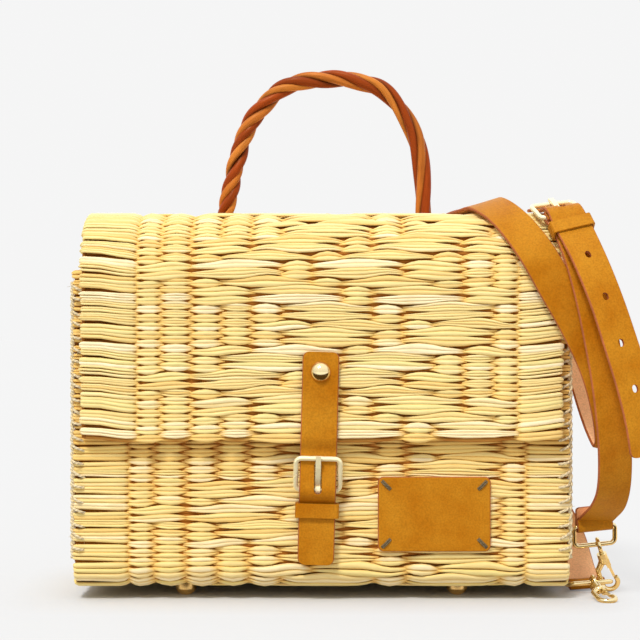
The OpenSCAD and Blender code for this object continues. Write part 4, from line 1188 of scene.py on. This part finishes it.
class SATCHEL_OT_body(bpy.types.Operator):
    """Weaves the front, the base and the back of the body."""

    bl_idname = "satchel.body"
    bl_label = "Body weave"

    FLOATS_Z = 54 * MM         # Height at which the long floats start to wander
    SAG = 2.2 * MM             # How far the base hangs down between its folds
    HIDDEN_WAIST = 2.4 * MM    # Waist of the picks under and behind the bag
    BEND_SWELL = 1.35          # How much wider the reeds are round the folds
    AGED, SHELTERED = 0.11, 0.28    # Browner than the lid all over, and painted shade below the lid's edge
    SHELTER, FADE = 15 * MM, 12 * MM    # How far below the lid's edge the painted shade reaches, and fades out
    SEED = 21

    def execute(self, context):
        reed = settings("reed")
        legs, start, heading = body_fold()
        surface = mat_surface(legs, start, heading, self.SAG)
        ends = np.concatenate([[0], np.cumsum([leg[0] for leg in legs])])
        columns = warp_columns(BODY_HIGH.x)
        places = pick_places(legs)
        firsts = float_starts(places, FRONT_TOP - self.FLOATS_Z)
        waist = np.where(places < ends[1], WAIST, self.HIDDEN_WAIST)
        bent = [self.BEND_SWELL if i in (1, 3) else 1.0 for i in np.searchsorted(ends, places) - 1]
        rods = weave_rods(surface, places, firsts, columns, BODY_HIGH.x, reed.rise, self.SEED, waist=waist,
                          swell=bent)
        # Painted shade: the picks just below the lid's edge turn gold and brown, on top of the all-over tone
        above = (FRONT_TOP - places - (LID_LOW.z - self.SHELTER)) / self.FADE
        shaded = self.AGED + self.SHELTERED * np.clip(above, 0, 1)
        rods["shade"] = rods["shade"] + shaded[rods["pick"]][:, None]
        low, high = ends[1] + 8 * MM, ends[3] + 8 * MM
        top = ends[5] - (BODY_HIGH.z - hinge_low())
        for name, chosen in (("front_weave", places < low), ("base_weave", (places >= low) & (places < high)),
                             ("back_weave", (places >= high) & (places < top))):
            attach(woven_piece(name, rods, chosen, "body_mat"), "bag")
        edge = BODY_HIGH.x - reed.rise
        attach(warp_piece("body_warps", surface, columns, 1.5 * MM, top, 130, (-edge, edge)), "bag")
        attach(shade_core_piece("body_core", surface, edge - 1 * MM, 2 * MM, top), "bag")
        return {"FINISHED"}


class SATCHEL_OT_sides(bpy.types.Operator):
    """Weaves the two side panels in plain weave."""

    bl_idname = "satchel.sides"
    bl_label = "Side weave"

    COLUMNS, REACH = 5, 0.76    # Warps of a panel, and the share of its depth that they take up
    RISE, SIDE_WAIST = 1.2 * MM, 2.2 * MM

    def execute(self, context):
        for name, sign, seed in (("left", -1, 31), ("right", 1, 32)):
            node = name + "_side_panel"
            low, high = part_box(node)
            mid_x = (low.x + high.x) / 2

            def surface(u, v, level, mid_x=mid_x, sign=sign):
                return np.stack([mid_x + sign * level, u, v + low.z], axis=-1)

            places = pick_places([(high.z - low.z, 0.0)])
            shoulder_y, shoulder_z = LID_LOW.y + SHOULDER_R, LID_HIGH.z - SHOULDER_R
            inner_r = high.z - shoulder_z
            extents = []
            for z in places + low.z:
                rise = min(max(z + settings("reed").row / 2 - shoulder_z, 0), inner_r * 0.995)
                front = max(low.y, shoulder_y - math.sqrt(inner_r**2 - rise**2)) if rise else low.y
                extents.append((front, high.y))
            half = (high.y - low.y) / 2
            columns = half * self.REACH * np.linspace(-1, 1, self.COLUMNS)
            rods = weave_rods(surface, places, [None] * (len(places) // 2), columns, half, self.RISE, seed,
                              wrap=False, extents=extents, waist=self.SIDE_WAIST)
            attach(woven_piece(name + "_side_weave", rods, places > -1, node), "bag")
            middle = (low.y + high.y) / 2
            warps = warp_piece(name + "_side_warps", surface, [middle + c for c in columns[1:]],
                               0.0, high.z - low.z - 3 * MM, 40)
            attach(warps, "bag")
        return {"FINISHED"}


class SATCHEL_OT_handle(bpy.types.Operator):
    """Twists the willow rods of the handle."""

    bl_idname = "satchel.handle"
    bl_label = "Willow handle"

    # Middle of the hoop as (x, z) in mm
    LINE = [
        (-61, 225), (-60.5, 240), (-56.5, 262), (-50.5, 284), (-42, 301), (-29, 315), (-13, 322.5),
        (7, 324), (24, 322.5), (38, 318), (49.5, 306.5), (58.5, 290.5), (63, 275), (65.3, 257), (65.5, 240),
        (65.5, 225)]
    TURNS, TIGHT = 4, 1.75

    def execute(self, context):
        willow = settings("willow")
        low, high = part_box("handle")
        middle_y = (low.y + high.y) / 2
        points = smooth_curve([(x * MM, middle_y, z * MM) for x, z in self.LINE], 12)
        length = lengths_along(points)
        share = length / length[-1]
        twist = -2 * np.pi * self.TURNS * share * (self.TIGHT - (self.TIGHT - 1) * share)
        d = tangents(points)
        a = np.array([0.0, 1.0, 0.0])
        b = np.cross(a, d)
        rng = np.random.default_rng(41)
        lines, sizes = [], []
        for k in range(willow.rods):
            phase = 2 * np.pi * k / willow.rods + rng.normal(0, 0.1) + 0.25 * np.sin(share * 9 + 2 * k)
            off = willow.ring_r * (1 + 0.07 * np.sin(share * 23 + k))
            lines.append(points + a * (off * np.cos(twist + phase))[:, None]
                         + b * (off * np.sin(twist + phase))[:, None])
            sizes.append(willow.rod_r * (1 + 0.07 * np.sin(share * 17 + 2 * k) + rng.normal(0, 0.05)))
        centre, sizes = np.array(lines), np.array(sizes)
        way = unit(np.gradient(centre, axis=1))
        side = unit(np.cross(way, a))
        normal = np.cross(way, side)
        tones = np.array([0.15, 0.85, 0.4, 1.0, 0.6, 0.3])[: willow.rods]
        turn = np.arange(12) * (np.pi / 6)
        out = unit(centre - points)[:, :, None]
        spoke = side[:, :, None] * np.cos(turn)[:, None] + normal[:, :, None] * np.sin(turn)[:, None]
        # Painted shade: the side of each rod that faces the middle of the twist turns dark, as in the grooves
        shade = np.clip(0.62 - np.sum(out * spoke, axis=-1), 0, 1)
        mesh = rods_mesh("handle_rods", centre, side, normal, sizes, sizes, tones, len(turn), shade)
        rods = piece("handle_rods", mesh, ["willow"])
        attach(rods, "lid")
        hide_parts("handle")
        return {"FINISHED"}


class SATCHEL_OT_closing(bpy.types.Operator):
    """Makes the closing strap and the leather patch with its stitches."""

    bl_idname = "satchel.closing"
    bl_label = "Closing strap and patch"

    # Middle of the closing strap as (y, z) in mm: over the lid, through the buckle and the keeper, to its tip
    LINE = [(-60.65, 151), (-60.65, 130), (-60.65, 104), (-60.4, 98), (-58.1, 92), (-58.5, 87), (-59.9, 75),
            (-60.7, 69), (-59.8, 65), (-57, 62.4), (-55.5, 60.4), (-55.5, 51.4), (-55.5, 40), (-54.75, 23)]
    SLOT_Z, HEEL_Z = 75.5 * MM, 68 * MM
    # Outlines of the patch from the back to the middle of its face: share of its size, share of its thickness
    PATCH_RINGS = [(1.0, 0.0), (1.0, 0.45), (0.997, 0.8), (0.985, 0.97), (0.96, 1.0), (0.8, 1.0), (0.55, 1.0),
                   (0.3, 1.0), (0.1, 1.0)]

    def execute(self, context):
        self.strap(settings("leather"))
        self.buckle()
        self.patch()
        return {"FINISHED"}

    def leaning(self):
        """The middle of the rivet, and the turn about it that the strap and its buckle share."""
        low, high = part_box("closing_rivet")
        rivet = Vector(((low.x + high.x) / 2, 0, (low.z + high.z) / 2))
        turn = Matrix.Rotation(math.radians(1.5), 4, "Y")
        return rivet, Matrix.Translation(rivet) @ turn @ Matrix.Translation(-rivet)

    def strap(self, leather):
        rivet, lean = self.leaning()
        points = smooth_curve([lean @ Vector((rivet.x, y * MM, z * MM)) for y, z in self.LINE], 8)
        facing = np.broadcast_to(np.array([0.0, -1.0, 0.0]), points.shape)
        slot = Matrix.Translation(lean @ Vector((rivet.x, -60 * MM, self.SLOT_Z)))
        obj = strip("closing_strap_piece", points, facing, leather.close_w, leather.close_t, 1 * MM,
                    (TIP_CORNER, TIP_CORNER), [(slot, *PRONG_SLOT)])
        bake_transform(obj)
        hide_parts("closing_strap")

    def buckle(self):
        """The front buckle's frame, leaning as the closing strap does."""
        rivet, lean = self.leaning()
        low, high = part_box("buckle_frame")
        wire = settings("trim").wire_r
        heel_y, toe_y = high.y - wire, low.y + wire
        tilt = Matrix.Rotation(math.atan2(heel_y - toe_y, FRAME_H), 4, "X")
        place = lean @ Matrix.Translation((rivet.x, heel_y, self.HEEL_Z)) @ tilt
        wire_frame("buckle_frame", place, FRAME_HALF, FRAME_H, "pale_gold")

    def patch(self):
        """A soft-edged plate whose corners lift a little, with a slanted stitch at each corner."""
        low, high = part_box("leather_patch")
        middle, size = (low + high) / 2, high - low
        corner, quarter = 3.5 * MM, np.linspace(0, 1, 9)
        arcs = []
        for k, (sx, sz) in enumerate(CORNERS):
            a = math.pi / 2 * (k + quarter)
            arcs.append(np.stack([sx * (size.x / 2 - corner) + corner * np.cos(a),
                                  sz * (size.z / 2 - corner) + corner * np.sin(a)], axis=1))
        edges = [np.linspace(arcs[k][-1], arcs[(k + 1) % 4][0], 13)[1:-1] for k in range(4)]
        outline = np.concatenate([part for pair in zip(arcs, edges) for part in pair])
        wave = np.random.default_rng(51).uniform(0, 6, 2)
        rings = []
        for share, front in self.PATCH_RINGS:
            x, z = (outline * share).T
            lift = 0.25 * MM * np.sin(x / 0.011 + wave[0]) * np.sin(z / 0.013 + wave[1]) * front
            rings.append(np.stack([middle.x + x, high.y - size.y * front + lift, middle.z + z], axis=1))
        kinds = np.repeat([EDGE] * 3 + [GRAIN] * (len(rings) - 4), len(outline))
        mesh = shell_mesh("patch_piece", np.array(rings), [*kinds, FLESH, GRAIN])
        obj = piece("patch_piece", mesh, LEATHER)
        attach(obj, "bag")
        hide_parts("leather_patch")
        lines = []
        arch = np.linspace(0, math.pi, 9)
        t = np.cos(arch) * 2.6
        for sx, sz in CORNERS:
            for gap in (-0.385, 0.385):
                x = middle.x + sx * (size.x / 2 - 5 * MM) + (gap - sx * t) * MM
                z = middle.z + sz * (size.z / 2 - 5 * MM) - (t + sx * gap) * sz * MM
                lines.append(np.stack([x, low.y - (np.sin(arch) * 1.3 - 0.6) * MM, z], axis=1))
        mesh = thread_mesh("patch_stitches", lines, 0.55 * MM, np.linspace(0, 1, len(lines)), 8)
        stitches = piece("patch_stitches", mesh, ["thread"])
        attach(stitches, "bag")


class SATCHEL_OT_twine(bpy.types.Operator):
    """Sews the mat to the side panels with twine along the four upright edges."""

    bl_idname = "satchel.twine"
    bl_label = "Twine seams"

    PITCH, LAY = 7.5 * MM, 9 * MM    # Lengths of one stitch and of one twist of the cord
    HAIRS, HAIR_R = 150, 0.09 * MM

    def execute(self, context):
        trim = settings("trim")
        rng = np.random.default_rng(61)
        half = settings("reed").mat / 2
        front, back = (BODY_LOW.y + half, FRONT_TOP - 6 * MM), (BODY_HIGH.y - half, hinge_low() - 6 * MM)
        low = BODY_LOW.z + FOLD_R + 3 * MM
        for name, side, (mid_y, top) in (("front_left", -1, front), ("front_right", 1, front),
                                         ("back_left", -1, back), ("back_right", 1, back)):
            turns = (top - low) / self.PITCH
            t = np.linspace(0, 1, int(turns * 18))
            a = 2 * np.pi * turns * t
            loose = 1 + 0.10 * np.sin(t * 57 + side) + 0.05 * np.sin(t * 131)
            line = np.stack([side * (BODY_HIGH.x - 3.2 * MM + 3.5 * MM * np.cos(a) * loose),
                             mid_y + (half + 1.0 * MM) * np.sin(a) * loose,
                             low + (top - low) * t + 0.9 * MM * np.sin(t * 83)], axis=1)
            turn = 2 * np.pi * (top - low) / self.LAY * t
            cord = [np.stack([side * (BODY_HIGH.x + 0.5 * MM + way * 0.65 * MM * np.cos(turn)),
                              mid_y - 1.2 * MM + way * 0.65 * MM * np.sin(turn) + 0.5 * MM * np.sin(t * 39),
                              low + (top - low) * t], axis=1) for way in (1, -1)]
            mesh = thread_mesh(name + "_seam", [line, *cord], trim.twine_r, [0.5, 0.3, 0.7])
            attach(piece(name + "_seam", mesh, ["twine"]), "bag")
            hairs = []
            for k in rng.integers(2, len(line) - 2, self.HAIRS):
                way = unit(rng.normal(0, 1, 3) + np.array([side * 0.5, 0, 0]))
                bow = rng.normal(0, 0.5, 3) * MM
                s = np.linspace(0, 1, 5)[:, None]
                hairs.append(line[k] + way * s * rng.uniform(1.5, 3.6) * MM + bow * s**2)
            mesh = thread_mesh(name + "_fuzz", hairs, self.HAIR_R, rng.uniform(0, 1, len(hairs)), 4)
            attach(piece(name + "_fuzz", mesh, ["twine"]), "bag")
        return {"FINISHED"}


class SATCHEL_OT_metal(bpy.types.Operator):
    """Gives the metal and the small leather pieces of the frame their finishes and soft edges."""

    bl_idname = "satchel.metal"
    bl_label = "Metal and small leather"

    LEATHER_NODES = ("buckle_tab", "keeper_loop", "left_ring_tab", "right_ring_tab", "strap_keeper")

    def execute(self, context):
        for name, obj in NODES.items():
            if obj.hide_render:
                continue
            leather = name in self.LEATHER_NODES
            obj.data.materials.clear()
            plate = "pale_gold" if "prong" in name else "gold"
            obj.data.materials.append(finish("leather_grain" if leather else plate))
            obj.data.shade_smooth()
            edge = obj.modifiers.new("soft_edges", "BEVEL")
            edge.width = 0.35 * MM if leather else 0.15 * MM
            edge.segments = 2
            edge.limit_method, edge.angle_limit = "ANGLE", CREASE
            edge.harden_normals = True
        return {"FINISHED"}


class SATCHEL_PT_panel(bpy.types.Panel):
    """Lists the satchel's pieces in the sidebar."""

    bl_idname = "SATCHEL_PT_panel"
    bl_label = "Woven satchel"
    bl_space_type = "VIEW_3D"
    bl_region_type = "UI"
    bl_category = "Satchel"

    def draw(self, context):
        for operator in OPERATORS:
            self.layout.operator(operator.bl_idname)
        for name in SETTINGS:
            box = self.layout.box()
            group = settings(name)
            for key in group.__annotations__:
                box.prop(group, key)


SETTINGS = {"reed": ReedSettings, "leather": LeatherSettings, "willow": WillowSettings, "trim": TrimSettings,
            "stage": StageSettings}
OPERATORS = (SATCHEL_OT_stage, SATCHEL_OT_shoulder_strap, SATCHEL_OT_lid, SATCHEL_OT_body, SATCHEL_OT_sides,
             SATCHEL_OT_handle, SATCHEL_OT_closing, SATCHEL_OT_twine, SATCHEL_OT_metal)


def register():
    for kind in (*SETTINGS.values(), *OPERATORS, SATCHEL_PT_panel):
        bpy.utils.register_class(kind)
    for name, kind in SETTINGS.items():
        setattr(bpy.types.Scene, "satchel_" + name, bpy.props.PointerProperty(type=kind))


def unregister():
    for name in SETTINGS:
        delattr(bpy.types.Scene, "satchel_" + name)
    for kind in (SATCHEL_PT_panel, *reversed(OPERATORS), *SETTINGS.values()):
        bpy.utils.unregister_class(kind)


def main():
    register()
    for operator in OPERATORS:
        group, name = operator.bl_idname.split(".")
        getattr(getattr(bpy.ops, group), name)()
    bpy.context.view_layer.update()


if __name__ == "__main__":
    main()
